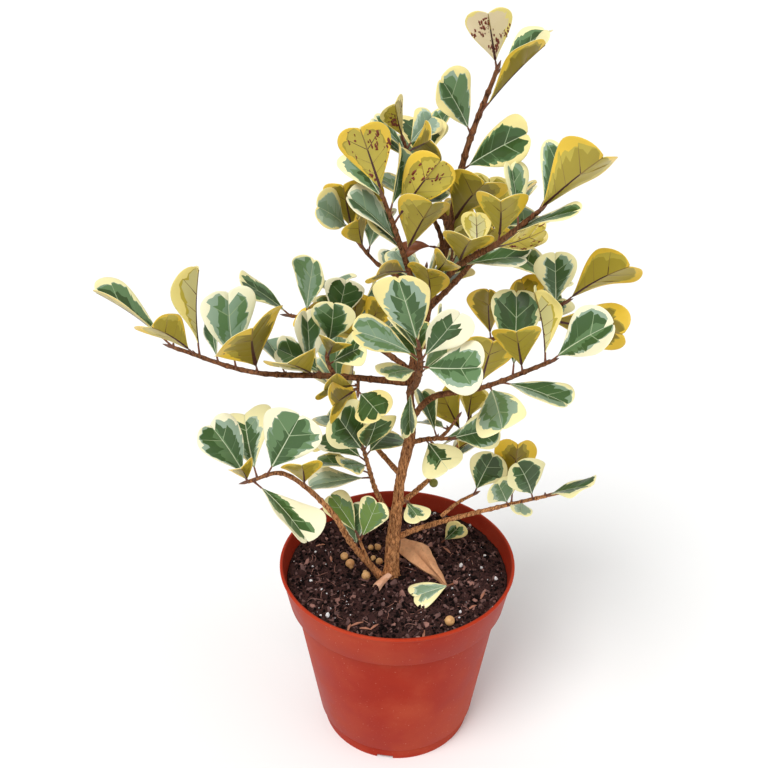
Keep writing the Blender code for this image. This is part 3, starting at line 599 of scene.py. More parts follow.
# %% Leaves measured in the picture
# Share of the limb in percent, pixel of the tip, length in mm, near 1 or far -1, turn away from
# the camera in degrees, fold, look.
SEEN = {
    "top": (
        (100, 488, 12, 37, 1, 180, 0.12, "blush", 0.92),
        (95, 546, 30, 42, -1, -52, 0.4, "dark", 0.6),
        (60, 551, 43, 56, 1, 250, 0.95, "gold", 0.48),
        (41, 441, 78, 45, 1, 36, 0.5, "edged", 0.84),
        (8, 527, 133, 56, 1, -30, 0.5, "dark", 0.64),
    ),
    "upper_middle": (
        (100, 395, 105, 31, 1, 206, 0.6, "spotted"),
        (94, 431, 113, 33, -1, 10, 0.3, "grey", 0.82),
        (92, 431, 140, 34, 1, 170, 0.5, "gold"),
        (50, 437, 185, 34, 1, 0, 0.3, "wide"),
    ),
    "upper_left": (
        (98, 360, 128, 47, 1, 172, 0.3, "spotted"),
        (80, 437, 158, 46, 1, 180, 0.25, "spotted"),
        (55, 434, 202, 44, 1, 213, 0.5, "thin", 0.9),
        (95, 351, 155, 43, -1, 25, 0.3, "wide"),
        (88, 402, 148, 40, -1, 60, 0.5, "grey"),
        (64, 349, 198, 44, 1, 66, 0.45, "edged"),
        (57, 368, 213, 34, 1, 55, 0.4, "wide"),
        (41, 377, 271, 35, 1, 140, 0.5, "gold"),
    ),
    "upper_left_side": (
        (98, 318, 204, 38, 1, 55, 0.3, "grey"),
        (90, 342, 186, 38, 1, 190, 0.5, "gold"),
        (80, 364, 183, 38, -1, 170, 0.4, "gold"),
        (70, 357, 220, 30, 1, 200, 0.5, "thin"),
    ),
    "upper_right": (
        (94, 604, 158, 57, 1, 218, 0.65, "thin", 0.68),
        (100, 566, 151, 42, -1, 12, 0.2, "edged", 0.85),
        (68, 504, 201, 44, 1, 180, 0.45, "thin"),
        (32, 470, 237, 44, 1, 180, 0.45, "thin"),
        (84, 509, 157, 38, -1, 48, 0.5, "wide", 0.78),
        (75, 576, 211, 48, 1, -62, 0.25, "dark", 0.52),
        (60, 546, 234, 34, 1, 150, 0.4, "spotted", 0.66),
        (30, 527, 257, 46, 1, -70, 0.3, "edged", 0.8),
        (50, 478, 214, 25, -1, 190, 0.3, "pale", 0.9),
    ),
    "crotch": (
        (100, 449, 260, 26, 1, 190, 0.3, "thin", 0.9),
    ),
    "centre": (
        (100, 402, 278, 49, 1, -10, 0.3, "mixed", 0.86),
        (93, 354, 328, 48, 1, 46, 0.4, "edged", 0.64),
        (96, 396, 323, 34, -1, 50, 0.4, "dark"),
        (92, 457, 314, 43, 1, 26, 0.4, "cream", 0.74),
        (90, 440, 316, 40, -1, 60, 0.4, "dark"),
        (86, 480, 373, 42, 1, 0, 0.2, "mixed", 0.9),
        (78, 383, 373, 33, 1, 68, 0.15, "cream", 0.8),
        (5, 411, 434, 34, 1, 60, 0.4, "dark"),
    ),
    "left": (
        (100, 96, 290, 59, 1, 76, 0.55, "edged", 0.76),
        (91, 153, 323, 50, 1, 140, 0.8, "thin", 0.68),
        (89, 197, 265, 56, 1, 252, 0.8, "pale", 0.68),
        (74, 222, 292, 54, 1, 0, 0.25, "gold"),
        (65, 248, 328, 58, 1, 198, 0.4, "gold", 1.2),
        (42, 284, 364, 42, 1, 134, 0.35, "thin", 1.05),
        (54, 266, 340, 42, -1, 40, 0.3, "grey", 1.0),
        (38, 276, 349, 38, 1, 48, 0.3, "grey", 0.95),
        (45, 307, 312, 42, 1, 40, 0.6, "wide"),
    ),
    "left_back": (
        (99, 241, 282, 47, 1, 56, 0.4, "dark", 0.66),
        (86, 317, 260, 44, 1, -40, 0.4, "edged", 0.78),
        (62, 346, 281, 40, 1, 0, 0.3, "dark"),
        (55, 377, 283, 42, -1, 60, 0.5, "grey"),
        (50, 357, 295, 26, 1, 185, 0.4, "gold"),
        (40, 380, 302, 30, 1, 170, 0.4, "gold"),
    ),
    "left_inner": (
        (100, 307, 305, 44, -1, 185, 0.4, "gold"),
        (96, 338, 306, 40, 1, 0, 0.2, "grey"),
        (60, 334, 341, 30, 1, 182, 0.4, "gold"),
        (40, 366, 347, 34, 1, -40, 0.3, "wide"),
    ),
    "left_low": (
        (100, 381, 414, 40, 1, 0, 0.2, "dark"),
        (80, 331, 408, 37, 1, 150, 0.5, "gold"),
        (60, 322, 389, 34, 1, 140, 0.5, "thin"),
    ),
    "right": (
        (100, 609, 322, 48, 1, -34, 0.4, "edged", 0.84),
        (97, 537, 291, 46, 1, 120, 0.8, "pale", 0.8),
        (84, 516, 330, 42, 1, 180, 0.5, "thin"),
        (78, 520, 293, 52, -1, 0, 0.25, "dark"),
        (70, 568, 403, 46, 1, -58, 0.3, "grey"),
        (64, 507, 424, 48, 1, 0, 0.3, "edged"),
        (58, 492, 342, 42, 1, 180, 0.25, "thin"),
    ),
    "right_back": (
        (100, 625, 261, 53, 1, 210, 0.8, "thin", 0.72),
        (95, 556, 254, 42, 1, 0, 0.25, "wide", 0.82),
        (82, 628, 341, 56, 1, 205, 0.6, "gold", 0.72),
        (79, 519, 278, 38, -1, 170, 0.5, "gold"),
        (47, 488, 291, 36, -1, 215, 0.6, "gold"),
    ),
    "fork_right": (
        (73, 417, 391, 45, -1, 42, 0.5, "dark", 0.55),
        (100, 497, 428, 40, 1, 0, 0.3, "grey"),
        (45, 448, 469, 38, 1, 0, 0.25, "cream", 0.95),
    ),
    "low_back": (
        (87, 441, 393, 46, 1, 190, 0.6, "thin"),
    ),
    "lower_right": (
        (84, 521, 461, 41, 1, 30, 0.4, "edged"),
        (91, 588, 489, 42, 1, -68, 0.4, "dark", 0.8),
        (72, 518, 441, 45, 1, 190, 0.5, "gold"),
        (70, 497, 480, 32, 1, 10, 0.4, "wide"),
        (78, 520, 516, 24, 1, 0, 0.3, "wide"),
    ),
    "lower_right_side": (
        (100, 492, 453, 41, 1, 0, 0.3, "dark"),
    ),
    "lower_left": (
        (100, 211, 422, 48, 1, 34, 0.4, "mixed", 0.85),
        (96, 240, 414, 54, -1, -5, 0.25, "cream", 0.9),
        (92, 301, 417, 53, 1, 0, 0.2, "mixed", 1.0),
        (74, 304, 466, 36, 1, 180, 0.4, "thin"),
        (98, 309, 540, 57, 1, -58, 0.35, "wide", 0.8),
        (100, 243, 468, 26, 1, 180, 0.4, "gold"),
    ),
    "lower_middle": (
        (94, 335, 417, 46, 1, 10, 0.3, "dark"),
        (97, 375, 418, 40, 1, 55, 0.5, "dark"),
        (89, 391, 429, 44, -1, -10, 0.3, "dark"),
        (80, 325, 434, 44, -1, 20, 0.3, "dark"),
        (57, 309, 487, 44, 1, 56, 0.35, "grey", 0.85),
        (74, 344, 467, 30, 1, 60, 0.4, "wide"),
    ),
    "foot": (
        (100, 332, 495, 36, 1, 28, 0.35, "fresh", 0.9),
        (90, 379, 501, 38, 1, 0, 0.2, "fresh"),
    ),
    "sprig": (
        (100, 421, 521, 28, 1, -20, 0.3, "cream", 0.95),
    ),
    "trunk": (
        (90, 480, 180, 46, 1, 196, 0.5, "gold"),
        (84, 457, 202, 34, 1, 150, 0.7, "spotted"),
        (72, 430, 268, 38, 1, 182, 0.25, "thin", 0.85),
    ),
}


# %% Keep the measured leaves apart
SHEET_SHARES = (0.2, 0.36, 0.52, 0.68, 0.82, 0.95)
TUBE_SIDES = 6
TRIALS = (
    (1, 0), (1.06, 0), (1, 12), (1, -12), (1.12, 0), (0.94, 0), (1.06, 12), (1.06, -12), (1.18, 0), (1, 22),
    (1, -22), (1.12, 18), (1.12, -18), (1.25, 0),
)


def sheet_of(leaf):
    """A coarse sheet in the leaf's place, to find what it cuts through."""
    points = []
    for share in SHEET_SHARES:
        width, height = leaf_edge(share)
        points.extend(leaf.solid_point(width * k * 0.9, height) for k in (-1, -0.5, 0, 0.5, 1))
    faces = [
        (5 * r + c, 5 * r + c + 1, 5 * r + c + 6, 5 * r + c + 5)
        for r in range(len(SHEET_SHARES) - 1)
        for c in range(4)
    ]
    return BVHTree.FromPolygons(points, faces)


def tube_of(course):
    points = []
    for point, tangent, normal, radius in zip(course.points, course.tangents, course.normals, course.radii):
        across = tangent.cross(normal)
        for k in range(TUBE_SIDES):
            angle = math.tau * k / TUBE_SIDES
            points.append(point + (normal * math.cos(angle) + across * math.sin(angle)) * radius)
    faces = [
        (r + k, r + (k + 1) % TUBE_SIDES, r + TUBE_SIDES + (k + 1) % TUBE_SIDES, r + TUBE_SIDES + k)
        for r in range(0, len(points) - TUBE_SIDES, TUBE_SIDES)
        for k in range(TUBE_SIDES)
    ]
    return BVHTree.FromPolygons(points, faces)


class Room:
    """Everything that stands already, to count what a new leaf would cut through."""

    def __init__(self, courses):
        self.wood = [tube_of(course) for course in courses]
        self.leaves = []

    def clashes(self, leaf):
        sheet = sheet_of(leaf)
        count = sum(len(tube.overlap(sheet)) for tube in self.wood)
        for other, other_sheet in self.leaves:
            if (other.root - leaf.root).length < other.length + leaf.length:
                count += len(other_sheet.overlap(sheet))
        return count

    def add(self, leaf):
        self.leaves.append((leaf, sheet_of(leaf)))

    def fit(self, root, u, v, length, side, turn, *rest):
        """The measured leaf, a little longer, shorter or turned where that keeps it clear."""
        best = None
        for stretch, swing in TRIALS:
            leaf = seen_leaf(root, u, v, length * stretch, side, turn + swing, *rest)
            cuts = self.clashes(leaf)
            if best is None or cuts < best[0]:
                best = (cuts, leaf)
            if cuts == 0:
                break
        self.add(best[1])
        return best


trunk_course = Course([mm(p) for p, _ in TRUNK], [r * MM for _, r in TRUNK])
room = Room([trunk_course] + [course for limb in limbs for course in (limb.course, *limb.twigs)])


def seen_leaves(name, course):
    leaves = []
    for share, *rest in SEEN.get(name, ()):
        cuts, leaf = room.fit(course.at(course.length * share / 100)[0], *rest)
        if cuts:
            print(f"{name}: the leaf at {share}% still meets {cuts} faces")
        leaves.append(leaf)
    return leaves


for limb in limbs:
    limb.seen = seen_leaves(limb.row.name, limb.course)
trunk_seen = seen_leaves("trunk", trunk_course)
print(f"{sum(len(rows) for rows in SEEN.values())} leaves measured in the picture")

# %% [markdown]
# ## More leaves
#
# The table gives each limb's count of leaves and of spurs, which are short side twigs, and the
# share of its leaves that stand up on the sunny front side and so show their golden undersides.
# The real crown is denser than its solids. More leaves are tried at random along the limbs and
# the upper trunk. One stays only where it comes near no other leaf and no wood, and reaches
# no further than the leaves round it, so the gaps that show the sky stay open.

# %% Fill the crown
ROOM = 4.0 * MM
REACH_OF_OTHERS = 16 * MM
TRIES = 500
FILL_SIZE = 43
SPUR_LENGTHS = (11 * MM, 26 * MM)
SPUR_RADII = (1.3 * MM, 1.1 * MM, 0.8 * MM)
SPUR_LEAVES = 3
FILLED = {
    "left_inner": (4, 2, 0),
    "left_low": (2, 0, 0),
    "left": (3, 2, 0),
    "left_back": (5, 2, 0),
    "centre": (5, 2, 0),
    "right": (4, 2, 0.3),
    "right_back": (4, 2, 0.5),
    "fork_right": (4, 2, 0.2),
    "lower_middle": (3, 1, 0),
    "low_back": (3, 2, 0),
    "upper_right": (5, 2, 0.9),
    "upper_left": (5, 2, 0.8),
    "upper_left_side": (2, 1, 0.7),
    "upper_middle": (5, 2, 0.8),
    "back_low_left": (4, 2, 0),
    "back_middle": (4, 2, 0.2),
    "back_right": (4, 2, 0.4),
    "back_upper": (4, 2, 0.6),
    "lower_left": (2, 0, 0),
}
TRUNK_FILLED = (14, 14, 0.4)
TRUNK_FROM = 0.4


class Crowd:
    """Points in boxes, to find out quickly whether one comes near them."""

    def __init__(self, room):
        self.room = room
        self.boxes = {}

    def box(self, point):
        return tuple(math.floor(value / self.room) for value in point)

    def add(self, points):
        for point in points:
            self.boxes.setdefault(self.box(point), []).append(point)

    def clear_of(self, points):
        for point in points:
            i, j, k = self.box(point)
            for a in (i - 1, i, i + 1):
                for b in (j - 1, j, j + 1):
                    for c in (k - 1, k, k + 1):
                        for other in self.boxes.get((a, b, c), ()):
                            if (other - point).length < self.room:
                                return False
        return True


def leaf_samples(leaf, first=0.12):
    """Points all over a leaf's blade, from a share of its length upwards."""
    points = []
    for share in (0.12, 0.24, 0.36, 0.48, 0.6, 0.72, 0.86, 1.0):
        width, height = leaf_edge(share)
        if share >= first:
            points.extend(leaf.solid_point(width * k / 3, height) for k in range(-3, 4))
    return points


class Picture:
    """Where leaves show in the picture: pixels, and how far each is from the camera."""

    def __init__(self, leaves):
        self.spots = [(pixel_of(p), (p - EYE).length) for leaf in leaves for p in leaf_samples(leaf)]
        self.tree = KDTree(len(self.spots))
        for i, (pixel, _) in enumerate(self.spots):
            self.tree.insert(pixel.to_3d(), i)
        self.tree.balance()

    def covered_by(self, points):
        """Share of the points that hide one of the leaves."""
        hiding = 0
        for point in points:
            _, i, away = self.tree.find(pixel_of(point).to_3d())
            hiding += away < COVER_REACH and (point - EYE).length < self.spots[i][1]
        return hiding / len(points)

    def hidden(self, points):
        """Share of the points that are behind one of the leaves."""
        hidden = 0
        for point in points:
            _, i, away = self.tree.find(pixel_of(point).to_3d())
            hidden += away < COVER_REACH and (point - EYE).length > self.spots[i][1]
        return hidden / len(points)

    def holds(self, points, reach):
        """True where every point shows near a leaf, so that no gap of sky is closed."""
        return all(self.tree.find(pixel_of(point).to_3d())[2] < reach for point in points)


COVER_REACH = 6
COVER_SHARE = 0.12
HIDDEN_SHARE = 0.45
SKY_REACH = 7
BACK_REACH = 9
crowd = Crowd(ROOM)
wood_crowd = Crowd(ROOM)
for limb in limbs:
    for course in (limb.course, *limb.twigs):
        wood_crowd.add(course.points)
    for leaf in limb.seen:
        crowd.add(leaf_samples(leaf))
for leaf in trunk_seen:
    crowd.add(leaf_samples(leaf))
wood_crowd.add(trunk_course.points)
seen_picture = Picture([leaf for limb in limbs for leaf in limb.seen] + trunk_seen)
for limb in limbs:
    kept = []
    for leaf in limb.leaves:
        points = leaf_samples(leaf, 0.3)
        if limb.seen and leaf.aimed:
            continue
        if not seen_picture.holds(points, SKY_REACH if limb.seen else BACK_REACH):
            continue
        if seen_picture.covered_by(points) < COVER_SHARE and room.clashes(leaf) == 0:
            room.add(leaf)
            kept.append(leaf)
    for leaf in kept:
        crowd.add(leaf_samples(leaf))
    limb.leaves = limb.seen + kept
    print(f"{limb.row.name}: {len(limb.seen)} measured, {len(kept)} by the rule")
all_leaves = [leaf for limb in limbs for leaf in limb.leaves] + trunk_seen
whole_picture = Picture(all_leaves)
reached = KDTree(sum(len(box) for box in crowd.boxes.values()))
for box in crowd.boxes.values():
    for point in box:
        reached.insert(point, 0)
reached.balance()


def fill_course(course, start, count, rising, behind, rng):
    """New leaves on a course, from a share of its length to its tip."""
    grown = []
    for _ in range(TRIES):
        if len(grown) == count:
            break
        point, tangent, _, _ = course.at(course.length * rng.uniform(start, 1))
        if rng.random() < rising:
            along = aim(rng.uniform(-165, -15), rng.uniform(38, 72))
        else:
            along = aim(rng.uniform(0, 360), rng.uniform(-12, 65))
        if abs(along.dot(tangent)) > 0.85:
            continue
        face = Quaternion(along, rng.uniform(-0.5, 0.5)) @ (UP + tangent * FACE_TO_TIP)
        leaf = Leaf(point, along, face, FILL_SIZE * MM * rng.uniform(0.72, 1.06))
        points = leaf_samples(leaf)
        if not whole_picture.holds(points[14:], SKY_REACH):
            continue
        if seen_picture.covered_by(points) > COVER_SHARE:
            continue
        if behind and seen_picture.hidden(points) < HIDDEN_SHARE:
            continue
        if not all(reached.find(point)[2] < REACH_OF_OTHERS for point in points[0::7] + points[6::7]):
            continue
        if crowd.clear_of(points) and wood_crowd.clear_of(leaf_samples(leaf, 0.36)) and not room.clashes(leaf):
            grown.append(leaf)
            crowd.add(points)
            room.add(leaf)
    return grown


def grow_spurs(course, start, count, rng):
    """Short side twigs that come out into room among the leaves."""
    spurs = []
    for _ in range(TRIES):
        if len(spurs) == count:
            break
        root, tangent, _, _ = course.at(course.length * rng.uniform(start, 0.95))
        along = aim(rng.uniform(0, 360), rng.uniform(0, 70))
        if abs(along.dot(tangent)) > 0.7:
            continue
        length = rng.uniform(*SPUR_LENGTHS)
        knots = [root, root + along * length * 0.5, root + along * length + UP * length * 0.12]
        spur = Course(knots, SPUR_RADII)
        outer = spur.points[len(spur.points) // 3 :]
        if not whole_picture.holds(outer, SKY_REACH):
            continue
        if crowd.clear_of(outer) and wood_crowd.clear_of(outer) and reached.find(outer[-1])[2] < REACH_OF_OTHERS:
            spurs.append(spur)
            wood_crowd.add(outer)
    return spurs


def fill(course, start, plan, behind, rng):
    """Leaves on a course, and spurs that carry some more of them."""
    count, spur_count, rising = plan
    spurs = []
    leaves = fill_course(course, start, count, rising, behind, rng)
    for spur in grow_spurs(course, start, spur_count, rng):
        carried = fill_course(spur, 0.4, SPUR_LEAVES, rising, behind, rng)
        if carried:
            spurs.append(spur)
            leaves.extend(carried)
    return leaves, spurs


def carries(twig, leaves):
    """True where one of the leaves stands on the twig."""
    return any((leaf.root - point).length < 2 * MM for leaf in leaves for point in twig.points[4:])


rng = random.Random("fill")
for limb in limbs:
    if limb.row.name in FILLED:
        leaves, spurs = fill(limb.course, 0.2, FILLED[limb.row.name], bool(limb.seen), rng)
        limb.leaves.extend(leaves)
        limb.twigs.extend(spurs)
        print(f"{limb.row.name}: {len(leaves)} more leaves, {len(spurs)} spurs")
for limb in limbs:
    bare = [twig for twig in limb.twigs if not carries(twig, limb.leaves)]
    limb.twigs = [twig for twig in limb.twigs if carries(twig, limb.leaves)]
    if bare:
        print(f"{limb.row.name}: {len(bare)} bare twigs left out")
trunk_leaves, trunk_spurs = fill(trunk_course, TRUNK_FROM, TRUNK_FILLED, True, rng)
trunk_leaves.extend(trunk_seen)
print(f"trunk: {len(trunk_leaves)} leaves, {sum(len(limb.leaves) for limb in limbs)} on limbs")

# %% [markdown]
# ## A fine leaf
#
# Each half of the blade is a grid. Its rows start on the midrib and slant up to the edge, as
# the side veins do, and its columns are the borders between the patches of colour. Moving a
# column a little from row to row gives the ragged border of real variegation. Some rows come
# as close pairs, and the strip between such a pair is a vein. The midrib ends in a fork.

# %% Rows and columns of the grid
FORK = 0.76
SIDE_VEINS = (0.16, 0.29, 0.43, 0.58, FORK)
FIRST_ROW = 0.03
LAST_ROW = 0.985
ROWS_BETWEEN = 6
VEIN_SLANT = 1.6
BLADE_THICKNESS = 0.5 * MM
FINE_OUTLINE = (
    ((0, 0), (0.08, 0.19), (0.36, 0.4), (0.485, 0.72)),
    ((0.485, 0.72), (0.55, 0.93), (0.28, 1.04), (0, 0.97)),
)
VEIN_BEND = 0.52


def row_shares():
    """Share of each row along the blade, and whether the strip above it is a vein."""
    rows = []
    marks = (FIRST_ROW, *SIDE_VEINS, LAST_ROW)
    for low, high in zip(marks, marks[1:]):
        rows.append((low, low in SIDE_VEINS))
        for k in range(low not in SIDE_VEINS, ROWS_BETWEEN):
            rows.append((low + (high - low) * k / ROWS_BETWEEN, False))
    rows.append((LAST_ROW, False))
    return rows


ROWS = row_shares()
print(f"{len(ROWS)} rows")


def row_point(share, across, shift):
    """Width and height at a fraction across a row, which is shifted a little up or down."""
    if share < SHAPE_SPLIT:
        width, height = bezier(FINE_OUTLINE[0], share / SHAPE_SPLIT)
    else:
        width, height = bezier(FINE_OUTLINE[1], (share - SHAPE_SPLIT) / (1 - SHAPE_SPLIT))
    middle = FINE_OUTLINE[1][-1][1] * share**VEIN_SLANT
    bend = middle + (height - middle) * VEIN_BEND
    rise = (1 - across) ** 2 * middle + 2 * across * (1 - across) * bend + across**2 * height
    return width * across, rise + shift * (1 - 0.8 * across)


# %% Borders of the patches of colour
RIB_WIDTH = {True: 0.011, False: 0.026}
EDGE = 0.975


def wander(rng, level, drift, ragged):
    """A border's place on each row: it drifts slowly, with ragged steps and some long fingers."""
    phase = rng.uniform(0, math.tau)
    speed = rng.uniform(3, 8)
    finger = 0
    sector = 0
    places = []
    for share, vein in ROWS:
        finger *= 0.5
        if rng.random() < 0.22:
            finger = rng.choice((-1.4, 1)) * rng.uniform(0.4, 1.1) * ragged
        step = rng.uniform(-0.3, 0.3) * ragged
        places.append(level + drift * math.sin(speed * share + phase) + sector + finger + step)
        if vein:
            sector = rng.uniform(-1, 0.7) * ragged
    return places


class Half:
    """The patches of half a leaf: two borders inside the green, and its pale margin."""

    def __init__(self, rng, creamy, tones):
        creamy *= rng.choice((0.5, 1))
        self.margin = wander(rng, rng.uniform(0.76, 0.9) - 0.15 * creamy, 0.03, 0.1)
        bay, reach, depth = rng.uniform(0.3, 0.95), rng.uniform(0.08, 0.2), rng.uniform(-0.25, 0.25)
        for r, (share, _) in enumerate(ROWS):
            self.margin[r] -= max(depth + 0.12 * creamy, 0) * math.exp(-(((share - bay) / reach) ** 2))
        self.core = wander(rng, rng.choice((0.15, 0.35, 0.55, 0.8)), 0.2, 0.22)
        self.soft = wander(rng, rng.uniform(0.72, 1.0), 0.14, 0.2)
        self.tones = tones
        self.tip = rng.uniform(0.9, 0.98) - 0.06 * creamy

    def stops(self, r, width, top):
        """Fractions across row r where its columns stand."""
        share = ROWS[r][0]
        rib = min(0.4, RIB_WIDTH[top] * (1.3 - share) / max(width, 0.01))
        margin = min(max(self.margin[r], 0.3, rib + 0.24), 0.94)
        core = min(max(self.core[r] * margin, rib + 0.05), margin - 0.08)
        soft = min(max(self.soft[r] * margin, core + 0.03), margin - 0.03)
        return (0, rib, core, soft, margin, (margin + EDGE) / 2, EDGE, 1)


GREEN_SETS = {
    "dark": (
        ("green_deep", "green_dark", "green_mid"),
        ("green_dark", "green_deep", "green_mid"),
        ("green_dark", "green_dark", "green_deep"),
    ),
    "grey": (
        ("green_dark", "green_soft", "green_pale"),
        ("green_mid", "green_soft", "green_grey"),
        ("green_soft", "green_grey", "green_pale"),
        ("green_dark", "green_mid", "green_grey"),
    ),
    "fresh": (
        ("green_fresh", "green_fresh", "green_mid"),
        ("green_fresh", "green_mid", "green_dark"),
    ),
    "mixed": (
        ("green_dark", "green_mid", "green_soft"),
        ("green_dark", "green_mid", "green_grey"),
        ("green_mid", "green_dark", "green_grey"),
        ("green_soft", "green_mid", "green_grey"),
        ("green_deep", "green_mid", "green_soft"),
    ),
}
CREAMY = {
    "edged": 0,
    "thin": 0,
    "spotted": 0,
    "dark": 0.1,
    "fresh": 0.15,
    "grey": 0.2,
    "mixed": 0.3,
    "blush": 0.5,
    "pale": 0.8,
    "wide": 1,
    "gold": 1,
    "cream": 2.2,
}
# Underside core and edge olives for each look. The gold look's deep olive is painted shade, and the pale look's pale
# olive is painted light.
OLIVES = {
    "thin": ("olive", "olive_light"),
    "plain": ("olive", "olive_light"),
    "spotted": ("olive_light", "olive"),
    "gold": ("olive_deep", "olive"),
    "pale": ("olive_pale", "olive_light"),
}


class Pattern:
    """The patches of a leaf's two halves, and the colours that they share."""

    def __init__(self, rng, look):
        creamy = CREAMY.get(look, rng.random() ** 2)
        greens = look if look in GREEN_SETS else rng.choice(("dark", "grey", "grey", "mixed", "mixed"))
        self.look = look
        tones = rng.choice(GREEN_SETS[greens])
        self.halves = {half: Half(rng, creamy, tones) for half in (-1, 1)}
        self.cream = rng.choice(("cream", "cream", "cream_pale", "cream_warm"))
        # The pale gold goes to a third of the leaves and to the pale and blush ones. It is a lit copy of the gold, so
        # it is painted light.
        self.gold = "gold" if look == "gold" else rng.choice(("gold", "gold", "gold_pale"))
        if look in ("pale", "blush"):
            self.gold = "gold_pale"
        self.olive, self.olive_edge = OLIVES.get(look) or rng.choice(list(OLIVES.values()))


# %% [markdown]
# The blade is a thin closed shell: a grid for the upper side, a grid for the underside, and a
# strip that joins them round the edge. The main veins are let in above and stand out below.


# %% Mesh of a leaf
WELD = 0.002 * MM


class Sheaf:
    """Corners, faces and colours gathered for one mesh."""

    def __init__(self):
        self.points = []
        self.faces = []
        self.slots = []

    def face(self, corners, slot):
        self.faces.append(corners)
        self.slots.append(slot)

    def build(self, name, finishes, smooth=True):
        mesh = bpy.data.meshes.new(name)
        mesh.from_pydata([tuple(p) for p in self.points], [], self.faces)
        for made in finishes:
            mesh.materials.append(made)
        mesh.polygons.foreach_set("material_index", np.array(self.slots, dtype=np.int32))
        mesh.polygons.foreach_set("use_smooth", np.full(len(self.faces), smooth))
        shape = bmesh.new()
        shape.from_mesh(mesh)
        bmesh.ops.remove_doubles(shape, verts=shape.verts, dist=WELD)
        shape.to_mesh(mesh)
        shape.free()
        mesh.validate()
        made = bpy.data.objects.new(name, mesh)
        bpy.context.scene.collection.objects.link(made)
        return made


class Blade:
    """The curved surface of one leaf, with its own fold, arch and waves."""

    def __init__(self, leaf, rng):
        self.leaf = leaf
        self.stalk = STALK_LENGTH * leaf.length
        self.blade = leaf.length - self.stalk
        self.phase = {-1: rng.uniform(0, math.tau), 1: rng.uniform(0, math.tau)}
        breadth = leaf.breadth or rng.uniform(0.8, 0.98)
        self.full = {half: breadth * rng.uniform(0.94, 1.06) for half in (-1, 1)}
        self.wave = rng.uniform(0.02, 0.055)
        self.beat = rng.uniform(4.5, 9)
        self.fold = leaf.fold + rng.uniform(-0.1, 0.08)
        self.curl = LEAF_CURL + rng.uniform(-0.04, 0.05)
        self.cup = rng.uniform(-0.05, 0.12)
        self.twist = rng.uniform(-0.18, 0.18)
        self.plump = rng.uniform(-0.02, 0.1)
        self.sweep = rng.uniform(-0.1, 0.1)
        self.notch = rng.uniform(-0.01, 0.06)

    def point(self, half, x, y, lift):
        """half is -1 or 1, x and y are shares of the blade, lift is along the upper side."""
        y -= self.notch * math.exp(-((x / 0.14) ** 2)) * max(y, 0) ** 6
        side = half * x * LEAF_WIDTH * self.full[half] * self.blade
        side *= 1 + self.plump * math.sin(math.pi * min(y, 1))
        across = x / 0.5
        rise = self.fold * (math.sqrt(side * side + FOLD_ROUND * FOLD_ROUND) - FOLD_ROUND)
        rise -= self.curl * self.blade * y * y
        rise += self.wave * self.blade * across * across * math.sin(self.beat * y + self.phase[half])
        rise -= self.cup * self.blade * across * across * across
        rise += self.twist * side * y
        side += self.sweep * self.blade * y * y
        return self.leaf.place(side, self.stalk + y * self.blade, rise + lift)


FOLD_ROUND = 2.0 * MM
VEIN_WIDTH = 0.0045
FORK_WIDTH = 0.008
VEIN_STEP = 0.12 * MM
RIB_STEP = {True: -0.2 * MM, False: -0.45 * MM}


def grow_leaf(sheaf, leaf, rng):
    """Adds a leaf with its stalk to a sheaf."""
    blade = Blade(leaf, rng)
    pattern = Pattern(rng, leaf.look)
    if leaf.look == "dead":
        blade.fold, blade.curl, blade.cup = 0.9, 0.5, 0.3
    for half in (-1, 1):
        patches = pattern.halves[half]
        grids = [blade_grid(sheaf, blade, patches, half, top) for top in (True, False)]
        for grid, top in zip(grids, (True, False)):
            colour_grid(sheaf, grid, patches, pattern, half, top)
        close_rim(sheaf, *grids, half, LEAF_SLOT["dead" if leaf.look == "dead" else pattern.cream])
    grow_stalk(sheaf, leaf, blade)
    few = rng.choice((0, 0, 0, 2, 4))
    for _ in range(SCAB_GROUPS.get(leaf.look, 0)):
        middle = (rng.choice((-1, 1)), rng.uniform(0.3, 0.85), rng.uniform(0.1, 0.8))
        for _ in range(9):
            grow_scab(sheaf, blade, rng, middle, 1.0)
    for _ in range(0 if leaf.look == "dead" else few):
        grow_scab(sheaf, blade, rng, (rng.choice((-1, 1)), rng.uniform(0.3, 0.9), rng.uniform(0.1, 0.8)), 0.5)


SCAB_GROUPS = {"spotted": 5, "blush": 9}


def grow_scab(sheaf, blade, rng, middle, size):
    """A raised rusty spot on the underside near a place: a low drum with an uneven outline."""
    sides = 7
    half, share, across = middle
    share = min(max(share + rng.gauss(0, 0.05), 0.15), 0.93)
    width, _ = row_point(share, 1, 0)
    middle = row_point(share, min(max(across + rng.gauss(0, 0.12), 0.08), 0.9), 0)
    radius = rng.uniform(0.006, 0.026) * size
    rings = ([], [])
    stretch = rng.uniform(0.8, 2.4)
    for k in range(sides):
        angle = math.tau * k / sides
        reach = radius * rng.uniform(0.5, 1.3)
        x = min(max(middle[0] + reach * math.cos(angle), 0.004), width)
        y = middle[1] + reach * stretch * math.sin(angle)
        for ring, lift in zip(rings, (0, -BLADE_THICKNESS / 2 - SCAB_HEIGHT)):
            ring.append(len(sheaf.points))
            sheaf.points.append(blade.point(half, x, y, lift))
    slot = LEAF_SLOT["rust"]
    inner, outer = rings if half > 0 else [ring[::-1] for ring in rings]
    sheaf.face(tuple(inner), slot)
    sheaf.face(tuple(outer[::-1]), slot)
    for k in range(sides):
        n = (k + 1) % sides
        sheaf.face((inner[n], inner[k], outer[k], outer[n]), slot)


SCAB_HEIGHT = 0.12 * MM


